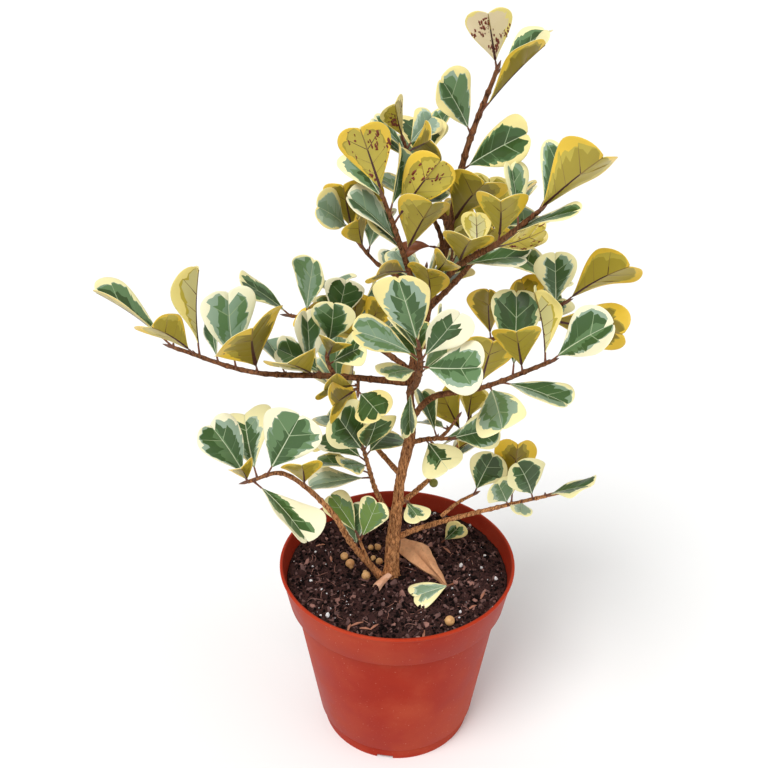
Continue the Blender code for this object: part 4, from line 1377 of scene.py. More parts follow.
def blade_grid(sheaf, blade, patches, half, top):
    """Corners of one side of half a blade, row by row."""
    grid = []
    for r, (share, vein) in enumerate(ROWS):
        after_vein = r > 0 and ROWS[r - 1][1]
        thick = FORK_WIDTH if share == FORK else VEIN_WIDTH
        shift = thick * (after_vein - vein)
        width, _ = row_point(share, 1, 0)
        line = []
        for c, across in enumerate(patches.stops(r, width, top)):
            x, y = row_point(share, across, shift)
            lift = BLADE_THICKNESS / 2 * (0.4 if across == 1 else 1) * (1 if top else -1)
            if c == 0:
                lift += RIB_STEP[top]
            elif (vein or after_vein) and across < 0.7:
                lift -= VEIN_STEP * (1 - across)
            line.append(len(sheaf.points))
            sheaf.points.append(blade.point(half, x, y, lift))
        grid.append(line)
    return grid


def colour_grid(sheaf, grid, patches, pattern, half, top):
    """Faces of a grid, each with the colour of its patch."""
    flip = (half < 0) != (not top)
    pick = upper_colour if top else lower_colour
    for r in range(len(grid) - 1):
        low = grid[r]
        high = grid[r + 1]
        for c in range(len(low) - 1):
            corners = (low[c], low[c + 1], high[c + 1], high[c])
            sheaf.face(corners[::-1] if flip else corners, LEAF_SLOT[pick(c, r, patches, pattern)])


def upper_colour(c, r, patches, pattern):
    share, vein = ROWS[r]
    if pattern.look == "dead":
        return "dead"
    if c == 0:
        return "vein_pale"
    if c > 3 or share > patches.tip:
        return pattern.cream
    if vein and share == FORK and c < 3:
        return "vein_soft"
    if vein and c < 3:
        return "vein_faint"
    return patches.tones[c - 1]


def lower_colour(c, r, patches, pattern):
    share, vein = ROWS[r]
    if pattern.look == "dead":
        return "midrib_dark" if c == 0 else "dead"
    if c == 0:
        return "midrib_dark" if share < FORK else "vein_brown"
    if pattern.look == "blush":
        return "blush" if c < 4 else pattern.gold
    if c > 3 or share > patches.tip:
        return pattern.gold
    if vein:
        return "midrib_dark" if share == FORK and c == 1 else "vein_brown"
    return pattern.olive if c < 3 else pattern.olive_edge


def close_rim(sheaf, upper, lower, half, slot):
    """The strip round the edge, and across the two ends, where the two grids' corners differ."""
    strip = [(up[-1], low[-1]) for up, low in zip(upper, lower)]
    for (a, b), (d, e) in zip(strip, strip[1:]):
        corners = (a, b, e, d)
        sheaf.face(corners if half > 0 else corners[::-1], slot)
    for row, sign in ((0, 1), (-1, -1)):
        corners = (*lower[row], *upper[row][::-1])
        sheaf.face(corners if half * sign > 0 else corners[::-1], slot)


def grow_stalk(sheaf, leaf, blade):
    """A round stalk from inside the stem to the foot of the blade."""
    sides = 6
    rings = []
    for share, radius in ((-0.1, 1.0), (0.15, 0.85), (0.6, 0.62), (1.0, 0.6), (1.35, 0.34)):
        y = share * blade.stalk
        ring = []
        for k in range(sides):
            angle = math.tau * k / sides
            ring.append(len(sheaf.points))
            sheaf.points.append(
                leaf.place(math.cos(angle) * radius * MM, y, math.sin(angle) * radius * MM)
            )
        rings.append(ring)
    slot = LEAF_SLOT["stalk"]
    for low, high in zip(rings, rings[1:]):
        for k in range(sides):
            n = (k + 1) % sides
            sheaf.face((low[k], low[n], high[n], high[k])[::-1], slot)
    sheaf.face(tuple(rings[0]), slot)
    sheaf.face(tuple(rings[-1][::-1]), slot)


# %% Grow the leaves of every limb
DEAD_LEAF = Leaf(mm((21, -5, 380.5)), aim(190, 12), UP + FRONT * 0.6, 20 * MM, look="dead")
pieces = []
for limb in limbs:
    sheaf = Sheaf()
    rng = random.Random(f"{limb.row.name} leaves")
    for leaf in limb.leaves:
        grow_leaf(sheaf, leaf, rng)
    made = sheaf.build(f"leaves_{limb.row.name}", leaf_finishes)
    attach(made, "root")
    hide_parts(f"foliage_{limb.row.name}")
    pieces.append(made)
sheaf = Sheaf()
rng = random.Random("trunk leaves")
for leaf in (*trunk_leaves, DEAD_LEAF):
    grow_leaf(sheaf, leaf, rng)
made = sheaf.build("leaves_trunk", leaf_finishes)
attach(made, "root")
pieces.append(made)
print(f"{len(pieces)} leaf pieces, {sum(len(p.data.polygons) for p in pieces)} faces")

# %% [markdown]
# ## Bark
#
# The wood is one mesh of closely spaced rings along every course. A ficus keeps a ring scar
# at each old leaf, so every limb swells at short, uneven steps. Noise that is drawn out along
# the limb moves the corners in and out, as ridges and cracks. Each shoot ends in a pointed
# bud, and a small one sits at the foot of each leaf.

# %% Tubes
RING_STEP = 1.1 * MM
SCAR_STEPS = (4 * MM, 11 * MM)
SCAR_WIDTH = 1.0 * MM
SLIM = 1.9 * MM
FLARE_HEIGHT = 16 * MM
KNOB_HEIGHT = 7 * MM
BARK, BUD = 0, 1


def add_ring(sheaf, point, normal, across, sides, radius_at):
    """Corners round a point, at the radius that a function gives for each angle."""
    ring = []
    for s in range(sides):
        angle = math.tau * s / sides
        out = normal * math.cos(angle) + across * math.sin(angle)
        ring.append(len(sheaf.points))
        sheaf.points.append(point + out * radius_at(angle, out))
    return ring


def close_tube(sheaf, rings, slot):
    """Faces between rings, and a cap at each end."""
    for low, high in zip(rings, rings[1:]):
        for s in range(len(low)):
            n = (s + 1) % len(low)
            sheaf.face((low[s], low[n], high[n], high[s]), slot)
    sheaf.face(tuple(reversed(rings[0])), slot)
    sheaf.face(tuple(rings[-1]), slot)


def limb_tube(sheaf, course, sides, relief, rng, flare=False, knob=0):
    """A tube with scars, ridges and cracks along a course."""
    scars = []
    place = rng.uniform(*SCAR_STEPS)
    while place < course.length:
        scars.append((place, rng.uniform(0.08, 0.34)))
        place += rng.uniform(*SCAR_STEPS)
    count = round(course.length / RING_STEP)
    rings = []
    for k in range(count + 1):
        distance = course.length * k / count
        point, tangent, normal, radius = course.at(distance)
        slim = min(1, (SLIM / radius) ** 2)
        swell = slim * sum(size * math.exp(-(((distance - at) / SCAR_WIDTH) ** 2)) for at, size in scars)

        def grown(angle, out):
            ridges = noise.noise(out * 2.6 + UP * (distance / (11 * MM)) + point * 40)
            cracks = abs(noise.noise(out * 4.5 + UP * (distance / (6 * MM)) + FRONT * 7))
            wide = radius * (1 + swell) + relief * (0.8 * ridges - 0.9 * cracks + 0.2) * MM
            if flare and distance < FLARE_HEIGHT:
                wide *= 1 + 0.16 * math.cos(5 * angle + 0.4) * (1 - distance / FLARE_HEIGHT)
            return wide * (1 + knob * math.exp(-distance / KNOB_HEIGHT))

        rings.append(add_ring(sheaf, point, normal, tangent.cross(normal), sides, grown))
    close_tube(sheaf, rings, BARK)


def add_bud(sheaf, root, along, length, width):
    """A pointed bud: five rings that swell and then taper."""
    side = along.orthogonal().normalized()
    rings = []
    for share, wide in ((-0.15, 0.6), (0.1, 0.95), (0.35, 1.0), (0.7, 0.6), (1.0, 0.12)):
        rings.append(
            add_ring(sheaf, root + along * length * share, side, along.cross(side), 8, lambda a, o: width / 2 * wide)
        )
    close_tube(sheaf, rings, BUD)


# %% Bark colours
def bark_finish():
    made, shader, net = finish("bark_relief", 0.8, Specular_IOR_Level=0.2)
    place = object_place(net)
    height = net.node("ShaderNodeSeparateXYZ", None, {0: place}, output=2)
    drawn = net.node("ShaderNodeVectorMath", {"operation": "MULTIPLY"}, {0: place, 1: (1, 1, 0.3)})
    patch = speckle(net, place, 120)
    fleck = speckle(net, drawn, 900, 4, 0.7)
    age = (height + (patch - 0.5) * 0.06).ramp(0.285, 0.2)
    young = fleck.ramp(0.35, 0.66).mix(srgb(32, 8, 2), srgb(152, 98, 62))
    old = fleck.ramp(0.36, 0.64).mix(srgb(84, 36, 10), srgb(228, 162, 106))
    base = age.mix(young, old)
    feed((patch.ramp(0.5, 0.7) * 0.28).mix(base, srgb(164, 124, 90)), shader, "Base Color")
    bump = net.node("ShaderNodeBump", None, {"Height": fleck, "Strength": 0.5, "Distance": 0.0006})
    feed(bump, shader, "Normal")
    return made


def bud_finish():
    made, shader, net = finish("bud_scales", 0.5)
    tone = speckle(net, object_place(net), 500, 3)
    feed(tone.ramp(0.35, 0.65).mix(srgb(84, 50, 38), srgb(134, 88, 62)), shader, "Base Color")
    return made


# %% Wood
wood = Sheaf()
rng = random.Random("wood")
limb_tube(wood, trunk_course, 30, 0.75, rng, flare=True)
for limb in limbs:
    limb_tube(wood, limb.course, 14, 0.3, rng, knob=0.7 if limb.row.rooted else 0)
    for twig in limb.twigs:
        limb_tube(wood, twig, 10, 0.18, rng)
    for course in (limb.course, *limb.twigs):
        add_bud(wood, course.points[-1], course.tangents[-1], rng.uniform(5, 8) * MM, 2.3 * MM)
    for leaf in limb.leaves:
        leaning = (leaf.along + leaf.face * 1.2).normalized()
        add_bud(wood, leaf.root, leaning, rng.uniform(2.6, 3.8) * MM, 1.9 * MM)
dead_stalk = Course([mm((31, -1, 379)), mm((26, -5, 379.5)), DEAD_LEAF.root], [0.7 * MM, 0.6 * MM, 0.6 * MM])
limb_tube(wood, dead_stalk, 8, 0.05, rng)
for spur in trunk_spurs:
    limb_tube(wood, spur, 10, 0.18, rng)
    add_bud(wood, spur.points[-1], spur.tangents[-1], rng.uniform(5, 8) * MM, 2.1 * MM)
wood_piece = wood.build("bark", [bark_finish(), bud_finish()])
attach(wood_piece, "root")
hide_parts("trunk", *[name for name in nodes if name.startswith("bough_")])
print(f"bark: {len(wood_piece.data.polygons)} faces")

# %% [markdown]
# ## Nursery pot
#
# The pot is a thin moulded shell, round about its axis, with a wide collar, a rolled lip and
# a foot ring. A Screw modifier could turn its profile. Here a ring of edges is extruded and
# scaled from station to station, as one would by hand, and the hard corners are bevelled.

# %% Edit-mode helpers
def deselect():
    bpy.ops.object.select_all(action="DESELECT")


def select_loops(piece, keep):
    """In edit mode, selects the edges whose two ends pass a test on (radius, height) in mm."""
    mesh = bmesh.from_edit_mesh(piece.data)
    bpy.ops.mesh.select_mode(type="EDGE")
    bpy.ops.mesh.select_all(action="DESELECT")
    for edge in mesh.edges:
        ends = [(math.hypot(v.co.x, v.co.y) / MM, v.co.z / MM) for v in edge.verts]
        edge.select_set(all(keep(*end) for end in ends))
    bmesh.update_edit_mesh(piece.data)


def turned_body(name, profile, sides):
    """A closed round body along a profile of (radius, height) in mm, capped at both ends."""
    deselect()
    radius, height = profile[0]
    bpy.ops.mesh.primitive_circle_add(vertices=sides, radius=radius * MM, fill_type="NOTHING")
    piece = bpy.context.object
    piece.name = name
    bpy.ops.object.mode_set(mode="EDIT")
    bpy.ops.mesh.select_mode(type="EDGE")
    bpy.ops.transform.translate(value=(0, 0, height * MM))
    for (before, low), (after, high) in zip(profile, profile[1:]):
        bpy.ops.mesh.extrude_edges_move(TRANSFORM_OT_translate={"value": (0, 0, (high - low) * MM)})
        bpy.ops.transform.resize(value=(after / before, after / before, 1), center_override=(0, 0, high * MM))
    for end in (profile[-1], profile[0]):
        select_loops(piece, lambda r, z: abs(r - end[0]) < 0.01 and abs(z - end[1]) < 0.01)
        bpy.ops.mesh.edge_face_add()
    bpy.ops.mesh.select_all(action="SELECT")
    bpy.ops.mesh.normals_make_consistent(inside=False)
    bpy.ops.object.mode_set(mode="OBJECT")
    return piece


def subtract(piece, tool):
    """Cuts a tool's shape out of a piece and removes the tool."""
    hole = piece.modifiers.new("cut", "BOOLEAN")
    hole.object = tool
    bpy.context.view_layer.objects.active = piece
    bpy.ops.object.modifier_apply(modifier=hole.name)
    bpy.data.objects.remove(tool)


# %% Pot
WALL = 1.8
FOOT = (53.2, 56.7)
COLLAR = ((79.3, 115.3), (84.0, 140.7))
RIM = 85.0
RIM_TOP = 143.3
HUB = 12.0
DRAINS = 6
NOTCHES = 4
NOTCH_TURN = -99
POT_SIDES = 144


def collar_radius(height):
    (low_radius, low), (high_radius, high) = COLLAR
    return low_radius + (high_radius - low_radius) * (height - low) / (high - low)


POT_PROFILE = (
    (HUB, 0),
    (HUB + 1, 3),
    (FOOT[0] - 1, 3),
    (FOOT[0], 0),
    (FOOT[1], 0),
    (FOOT[1] + 0.6, 10.2),
    (59.7, 11.4),
    (67.6, 63.7),
    (75.5, 115.9),
    COLLAR[0],
    COLLAR[1],
    (RIM, 141.2),
    (RIM, RIM_TOP),
    (RIM - 2.2, RIM_TOP),
    (collar_radius(118.9) - WALL, 118.9),
    (75.5 - WALL, 115.3),
    (FOOT[1] - WALL, 5),
    (HUB, 5),
)
pot = turned_body("nursery_pot", POT_PROFILE, POT_SIDES)
bpy.ops.object.mode_set(mode="EDIT")
select_loops(pot, lambda r, z: r > 82.5 and z > 140.9)
bpy.ops.mesh.bevel(offset=0.7 * MM, segments=3, affect="EDGES")
select_loops(pot, lambda r, z: (r > 79 and abs(z - 115.3) < 0.1) or (r > 59 and 9 < z < 12))
bpy.ops.mesh.bevel(offset=0.5 * MM, segments=2, affect="EDGES")
bpy.ops.object.mode_set(mode="OBJECT")
for k in range(DRAINS):
    angle = math.tau * (k + 0.5) / DRAINS
    place = (33 * MM * math.cos(angle), 33 * MM * math.sin(angle), 0)
    deselect()
    bpy.ops.mesh.primitive_cylinder_add(vertices=32, radius=4.5 * MM, depth=15 * MM, location=place)
    subtract(pot, bpy.context.object)
for k in range(NOTCHES):
    angle = math.radians(NOTCH_TURN) + math.tau * k / NOTCHES
    place = (55 * MM * math.cos(angle), 55 * MM * math.sin(angle), 0)
    deselect()
    bpy.ops.mesh.primitive_cube_add(size=1, location=place, rotation=(0, 0, angle), scale=(10 * MM, 12 * MM, 5 * MM))
    subtract(pot, bpy.context.object)
deselect()
pot.select_set(True)
bpy.ops.object.shade_smooth_by_angle(angle=math.radians(32))
print(f"pot: {len(pot.data.polygons)} faces")

# %% [markdown]
# The plastic is dull and brick red. Handling has left cloudy pale scuffs on its side and fine
# specks of dust. The top of the lip is painted lighter, as a painted highlight, and inside, above
# the soil, the wall is painted darker, as painted shade.


# %% Plastic
def plastic_finish():
    made, shader, net = finish("terracotta_moulded", 0.5, Specular_IOR_Level=0.12)
    place = object_place(net)
    height = net.node("ShaderNodeSeparateXYZ", None, {0: place}, output=2)
    flat = net.node("ShaderNodeVectorMath", {"operation": "MULTIPLY"}, {0: place, 1: (1, 1, 0)})
    radius = net.node("ShaderNodeVectorMath", {"operation": "LENGTH"}, {0: flat}, output=1)
    slope = (COLLAR[1][0] - COLLAR[0][0]) / (COLLAR[1][1] - COLLAR[0][1])
    outer = (height - COLLAR[0][1] * MM) * slope + COLLAR[0][0] * MM
    # Masks for painted shade on the inner wall above the soil and for a painted highlight on the lip's top.
    inside = (outer - radius).ramp(0.5 * MM, 1.2 * MM) * height.ramp(117 * MM, 119 * MM)
    lip = height.ramp((RIM_TOP - 3) * MM, (RIM_TOP - 1.5) * MM)
    cloud = speckle(net, place, 14, 4)
    wisp = speckle(net, place, 26, 8, 0.72)
    scuff = (wisp * 0.6 + cloud * 0.5).ramp(0.5, 0.72)
    dust = speckle(net, place, 620, 2).ramp(0.68, 0.74)
    base = cloud.ramp(0.3, 0.7).mix(srgb(152, 29, 2), srgb(170, 43, 8))
    base = (scuff * 0.3).mix(base, srgb(194, 106, 78))
    base = (dust * 0.45).mix(base, srgb(214, 146, 122))
    # Painted highlight: the lip is lightened. Painted shade: the inner wall above the soil is darkened.
    base = (lip * 0.5).mix(base, srgb(186, 58, 28))
    base = (inside * 0.5).mix(base, srgb(136, 48, 34))
    feed(base, shader, "Base Color")
    feed(scuff * 0.22 + 0.44, shader, "Roughness")
    bump = net.node("ShaderNodeBump", None, {"Height": wisp, "Strength": 0.08, "Distance": 0.0006})
    feed(bump, shader, "Normal")
    return made


pot.data.materials.clear()
pot.data.materials.append(plastic_finish())
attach(pot, "root")
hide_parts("pot")

# %% [markdown]
# ## Soil
#
# Potting soil is a heap of bark crumbs. A turned body fills the pot, with many rings across
# its top, and noise lifts the corners of that top into lumps. Loose crumbs, chips and pale
# grains of perlite lie on it, each a small rough stone of a few faces.


# %% Soil surface
def soil_height(x, y):
    """Height of the soil's rough top, highest round the trunk."""
    here = Vector((x, y, 0))
    rough = 1.6 * noise.noise(here / (19 * MM))
    rough += 1.0 * noise.noise(here / (6.5 * MM))
    rough += 0.8 * noise.noise(here / (2.6 * MM))
    mound = 1.6 * math.exp(-(((x + 4 * MM) ** 2 + (y + 6 * MM) ** 2) / (15 * MM) ** 2))
    return SOIL_HEIGHT + (rough + mound) * MM


SOIL_EDGE = collar_radius(131) - WALL - 0.3
SOIL_RINGS = 58
top_rings = [(SOIL_EDGE * (1 - k / (SOIL_RINGS + 1)), 131) for k in range(SOIL_RINGS + 1)]
SOIL_PROFILE = (
    (HUB, 5.3),
    (FOOT[1] - WALL - 0.4, 5.3),
    (75.5 - WALL - 0.3, 115.1),
    (collar_radius(118.9) - WALL - 0.4, 118.8),
    *top_rings,
)
soil = turned_body("soil_bed", SOIL_PROFILE, 300)
for vertex in soil.data.vertices:
    if vertex.co.z > SOIL_HEIGHT - 0.5 * MM:
        vertex.co.z = soil_height(vertex.co.x, vertex.co.y)
deselect()
soil.select_set(True)
bpy.ops.object.shade_smooth()
print(f"soil: {len(soil.data.polygons)} faces")


def soil_finish():
    made, shader, net = finish("potting_soil_crumbs", 0.95, Specular_IOR_Level=0.12)
    place = object_place(net)
    grain_and_gap_shade = speckle(net, place, 700, 6, 0.75)
    lump = speckle(net, place, 160, 4)
    # The nearly black end of the grain is painted shade in the gaps between crumbs, over the soil's own dark brown.
    base = grain_and_gap_shade.ramp(0.38, 0.7).mix(srgb(12, 6, 5), srgb(92, 64, 60))
    feed((lump.ramp(0.45, 0.75) * 0.6).mix(base, srgb(96, 60, 57)), shader, "Base Color")
    bump = net.node("ShaderNodeBump", None, {"Height": grain_and_gap_shade, "Strength": 0.9, "Distance": 0.0015})
    feed(bump, shader, "Normal")
    return made


soil.data.materials.clear()
soil.data.materials.append(soil_finish())
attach(soil, "root")
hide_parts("soil")


# %% A rough stone to copy
def rough_stone():
    """Corners and faces of a small stone, from an ico sphere."""
    deselect()
    bpy.ops.mesh.primitive_ico_sphere_add(subdivisions=1, radius=1)
    ball = bpy.context.object
    corners = [v.co.copy() for v in ball.data.vertices]
    faces = [tuple(p.vertices) for p in ball.data.polygons]
    bpy.data.objects.remove(ball)
    return corners, faces


STONE_CORNERS, STONE_FACES = rough_stone()


def add_stone(sheaf, rng, centre, size, slot, rough=0.25):
    """A copy of the stone, with its three sizes, its own turn and its own dents."""
    turn = Quaternion((rng.gauss(0, 1), rng.gauss(0, 1), rng.gauss(0, 1), rng.gauss(0, 1))).normalized()
    first = len(sheaf.points)
    for corner in STONE_CORNERS:
        dented = corner * (1 + rng.uniform(-rough, rough))
        sheaf.points.append(centre + turn @ Vector([a * b for a, b in zip(dented, size)]))
    for face in STONE_FACES:
        sheaf.face(tuple(first + i for i in face), slot)


def spot_on_soil(rng, edge=SOIL_EDGE - 2):
    """A random place on the soil, away from the trunk."""
    while True:
        radius = edge * math.sqrt(rng.random()) * MM
        angle = rng.uniform(0, math.tau)
        x, y = radius * math.cos(angle), radius * math.sin(angle)
        if math.hypot(x + 4 * MM, y + 6 * MM) > 7 * MM:
            return x, y


def on_soil(x, y, above=0):
    return Vector((x, y, soil_height(x, y) + above))


# %% Crumbs and chips
CRUMB_FINISHES = [
    finish(f"crumb_{name}", 0.9, srgb(*screen), Specular_IOR_Level=0.12)[0]
    for name, screen in (
        ("black", (18, 9, 8)),
        ("brown", (60, 38, 36)),
        ("purple", (112, 84, 80)),
        ("red", (158, 116, 106)),
        ("fibre", (156, 110, 98)),
        ("perlite", (232, 230, 232)),
        ("husk", (176, 122, 100)),
    )
]
FIBRE, PERLITE, HUSK = 4, 5, 6
crumbs = Sheaf()
rng = random.Random("crumbs")
for _ in range(2600):
    x, y = spot_on_soil(rng)
    size = rng.uniform(0.7, 1.7) * MM
    shape = (size, size * rng.uniform(0.6, 1.0), size * rng.uniform(0.45, 0.8))
    add_stone(crumbs, rng, on_soil(x, y, 0.2 * size), shape, rng.choice((0, 0, 0, 1, 1, 2)))
for _ in range(420):
    x, y = spot_on_soil(rng, SOIL_EDGE - 4)
    size = rng.uniform(1.8, 4.2) * MM
    shape = (size, size * rng.uniform(0.35, 0.7), size * rng.uniform(0.2, 0.4))
    add_stone(crumbs, rng, on_soil(x, y, 0.3 * MM), shape, rng.choice((0, 1, 1, 2, 2, 3)), 0.35)
print(f"crumbs: {len(crumbs.faces)} faces")

# %% Husks
def add_strand(sheaf, knots, radii, slot, sides=5):
    """A thin closed tube along a smooth course."""
    course = Course(knots, radii)
    rings = []
    for point, tangent, normal, radius in zip(course.points, course.tangents, course.normals, course.radii):
        rings.append(add_ring(sheaf, point, normal, tangent.cross(normal), sides, lambda a, o: radius))
    close_tube(sheaf, rings, slot)


HUSKS = (
    (-28, -57, 20, 9.5), (-22, -61, -15, 8), (-16, -60, 40, 7), (-33, -60, 75, 6), (17, -67, 80, 8), (52, -41, 30, 6),
    (-58, 30, 10, 7), (38, 22, 130, 8), (60, -29, 60, 7), (-49, 12, 100, 6),
)
for x, y, turn, length in HUSKS:
    heading = math.radians(turn)
    half = Vector((math.cos(heading), math.sin(heading), 0.1)) * length / 2 * MM
    middle = on_soil(x * MM, y * MM, 0.9 * MM)
    add_strand(crumbs, [middle - half, middle + UP * 0.5 * MM, middle + half], [0.5 * MM, 1.0 * MM, 0.3 * MM], HUSK)
print(f"{len(HUSKS)} husks")

# %% [markdown]
# The perlite grains that show are placed one by one, in mm, with their widths. Finer grains
# are scattered.

# %% Perlite
GRAINS = (
    (-48, -50, 4.1), (-47, -42, 2.8), (-53, -49, 2.1), (71, -12, 3.4), (66, 16, 3.0), (47, 3, 4.2), (62, 1, 2.9),
    (-62, -13, 2.9), (-54, -22, 2.1), (-61, 20, 2.3), (42, -51, 2.0), (43, -46, 2.7), (39, -21, 2.1),
    (58, 53, 3.1), (57, 59, 2.6), (31, 70, 3.2), (-62, 3, 1.6), (-42, -23, 1.4), (-50, -26, 1.4),
)
for x, y, width in GRAINS:
    size = width / 2 * MM
    add_stone(crumbs, rng, on_soil(x * MM, y * MM, size * 0.7), (size, size * 0.85, size * 0.75), PERLITE)
for _ in range(110):
    x, y = spot_on_soil(rng)
    size = rng.uniform(0.15, 0.55) * MM
    add_stone(crumbs, rng, on_soil(x, y, 0.9 * MM), (size, size, size * 0.8), PERLITE)


# %% Fibres
Course.FINE = 3
for _ in range(90):
    x, y = spot_on_soil(rng, SOIL_EDGE - 14)
    heading = rng.uniform(0, math.tau)
    knots = []
    for k in range(4):
        knots.append(on_soil(x, y, rng.uniform(0.2, 1.3) * MM))
        heading += rng.uniform(-0.9, 0.9)
        stride = rng.uniform(2, 4.5) * MM
        x, y = x + stride * math.cos(heading), y + stride * math.sin(heading)
    add_strand(crumbs, knots, [0.16 * MM, 0.22 * MM, 0.2 * MM, 0.1 * MM], rng.choice((FIBRE, FIBRE, 3)))
Course.FINE = 12
crumbs_piece = crumbs.build("soil_crumbs", CRUMB_FINISHES, smooth=False)
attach(crumbs_piece, "root")
print(f"soil crumbs: {len(crumbs_piece.data.polygons)} faces")

# %% [markdown]
# ## Fallen figs and leaves
#
# Small tan figs, a big dry leaf, a fresh leaf and a curl of bark lie on the soil. A fig is a
# ball with a small mouth at its tip and a short neck at its stalk.


# %% Figs
def make_fig(place, width, tilt):
    """One fig, its mouth pressed in by moving its tip down, and its neck drawn out."""
    deselect()
    bpy.ops.mesh.primitive_uv_sphere_add(segments=20, ring_count=12, radius=0.5)
    fig = bpy.context.object
    bpy.ops.object.mode_set(mode="EDIT")
    mesh = bmesh.from_edit_mesh(fig.data)
    bpy.ops.mesh.select_mode(type="VERT")
    for height, push, squeeze in ((0.45, -0.07, 1.0), (-0.45, -0.16, 1.6)):
        bpy.ops.mesh.select_all(action="DESELECT")
        for vertex in mesh.verts:
            vertex.select_set((vertex.co.z > height) if height > 0 else (vertex.co.z < height))
        mesh.select_flush_mode()
        bmesh.update_edit_mesh(fig.data)
        bpy.ops.transform.translate(value=(0, 0, push))
        bpy.ops.transform.resize(value=(squeeze, squeeze, 1), center_override=(0, 0, height))
    bpy.ops.object.mode_set(mode="OBJECT")
    fig.scale = (width, width, width * 0.94)
    fig.rotation_euler = tilt
    fig.location = place
    bpy.ops.object.transform_apply(location=True, rotation=True, scale=True)
    bpy.ops.object.shade_smooth()
    return fig


def fig_finish(name, light, dark):
    made, shader, net = finish(name, 0.5)
    place = object_place(net)
    tone = speckle(net, place, 150, 3)
    dots = speckle(net, place, 1500, 2).ramp(0.6, 0.7)
    base = tone.ramp(0.35, 0.65).mix(srgb(*light), srgb(*dark))
    feed((dots * 0.45).mix(base, srgb(122, 72, 44)), shader, "Base Color")
    return made


FALLEN_FIGS = (
    (-39, 12.5, 6.0), (-34.5, 4, 6.8), (-22.5, -9.5, 6.6), (-19.5, 24.5, 4.4), (-14, 24, 5.0), (-13, 7, 5.2),
    (35, -56.5, 7.0), (-17.5, 12, 4.0),
)
GREEN_FIG = len(FALLEN_FIGS)
HUNG_FIG = (432, 482)
HUNG_WIDTH = 6.5
rng = random.Random("figs")
deselect()
figs = []
for x, y, width in FALLEN_FIGS:
    tilt = (rng.uniform(0.3, 2.6), rng.uniform(-0.8, 0.8), rng.uniform(0, math.tau))
    figs.append(make_fig(on_soil(x * MM, y * MM, width * 0.42 * MM), width * MM, tilt))
low_back = next(limb for limb in limbs if limb.row.name == "low_back")
sight = sight_through(HUNG_FIG)
knot = min(low_back.course.points, key=lambda p: ((p - EYE).cross(sight)).length)
aside = EYE + sight * (knot - EYE).dot(sight) - knot
figs.append(make_fig(knot + aside.normalized() * (1.5 + 0.42 * HUNG_WIDTH) * MM, HUNG_WIDTH * MM, (0.5, 0.3, 0)))
FIG_SKINS = (
    fig_finish("fig_skin_dry", (232, 184, 122), (206, 150, 96)),
    fig_finish("fig_skin_green", (150, 158, 74), (122, 124, 52)),
)
deselect()
for fig in figs:
    fig.data.materials.clear()
    fig.data.materials.append(FIG_SKINS[fig is figs[GREEN_FIG]])
    fig.select_set(True)
bpy.context.view_layer.objects.active = figs[0]
bpy.ops.object.join()
fallen_figs = bpy.context.object
fallen_figs.name = "figs"
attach(fallen_figs, "root")
print(f"figs: {len(fallen_figs.data.polygons)} faces")

# %% [markdown]
# The dry leaf is a crumpled sheet with sharp folds. Five lines of places in mm, from its foot
# to its tip, are the columns of a grid, and Solidify gives it a thickness.

# %% Dry leaf
DRY_LINES = (
    ((5, 17, 131), (11, 9, 131), (17, 1, 131), (24, -5, 131), (30, -12, 131), (34, -19, 131)),
    ((2.5, 15, 135), (8.5, 6, 136), (15.5, -2, 136.5), (22, -8, 136), (29, -13, 135), (34.5, -20, 133)),
    ((3.5, 30, 138), (10.5, 15, 140), (17, 2.5, 141), (23, -6.5, 140), (29, -13, 137), (35, -20, 133.5)),
    ((16.5, 14.5, 145), (19, 4, 146), (22, -6, 146), (25, -13, 144), (29.5, -17.5, 140), (35, -20, 134)),
    ((23.5, 17.5, 139), (25.5, 8.5, 140), (27.5, 0, 140), (30, -6.5, 138), (33, -12.5, 136), (35.5, -19, 133)),
)
DRY_STATIONS = 5
DRY_CUTS = 3
deselect()
bpy.ops.mesh.primitive_grid_add(x_subdivisions=len(DRY_LINES) - 1, y_subdivisions=DRY_STATIONS, size=2)
dry_leaf = bpy.context.object
dry_leaf.name = "dry_leaf"
for vertex in dry_leaf.data.vertices:
    line = round((vertex.co.x + 1) / 2 * (len(DRY_LINES) - 1))
    station = round((vertex.co.y + 1) / 2 * DRY_STATIONS)
    vertex.co = mm(DRY_LINES[line][station])
bpy.ops.object.mode_set(mode="EDIT")
bpy.ops.mesh.select_all(action="SELECT")
bpy.ops.mesh.subdivide(number_cuts=DRY_CUTS, smoothness=0.25)
bpy.ops.object.mode_set(mode="OBJECT")
for vertex in dry_leaf.data.vertices:
    vertex.co += noise.noise_vector(vertex.co / (7 * MM)) * 0.6 * MM
sheet = dry_leaf.modifiers.new("thickness", "SOLIDIFY")
sheet.thickness = 0.5 * MM
bpy.ops.object.modifier_apply(modifier="thickness")
bpy.ops.object.shade_smooth_by_angle(angle=math.radians(22))


def dry_finish(name, light, dark):
    made, shader, net = finish(name, 0.7)
    place = object_place(net)
    tone = speckle(net, place, 70, 4)
    vein = speckle(net, place, 420, 4)
    base = tone.ramp(0.35, 0.7).mix(srgb(*light), srgb(*dark))
    feed((vein.ramp(0.5, 0.75) * 0.35).mix(base, srgb(140, 88, 58)), shader, "Base Color")
    bump = net.node("ShaderNodeBump", None, {"Height": vein, "Strength": 0.3, "Distance": 0.0004})
    feed(bump, shader, "Normal")
    return made


dry_leaf.data.materials.append(dry_finish("dry_leaf_skin", (244, 186, 138), (220, 156, 110)))
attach(dry_leaf, "root")

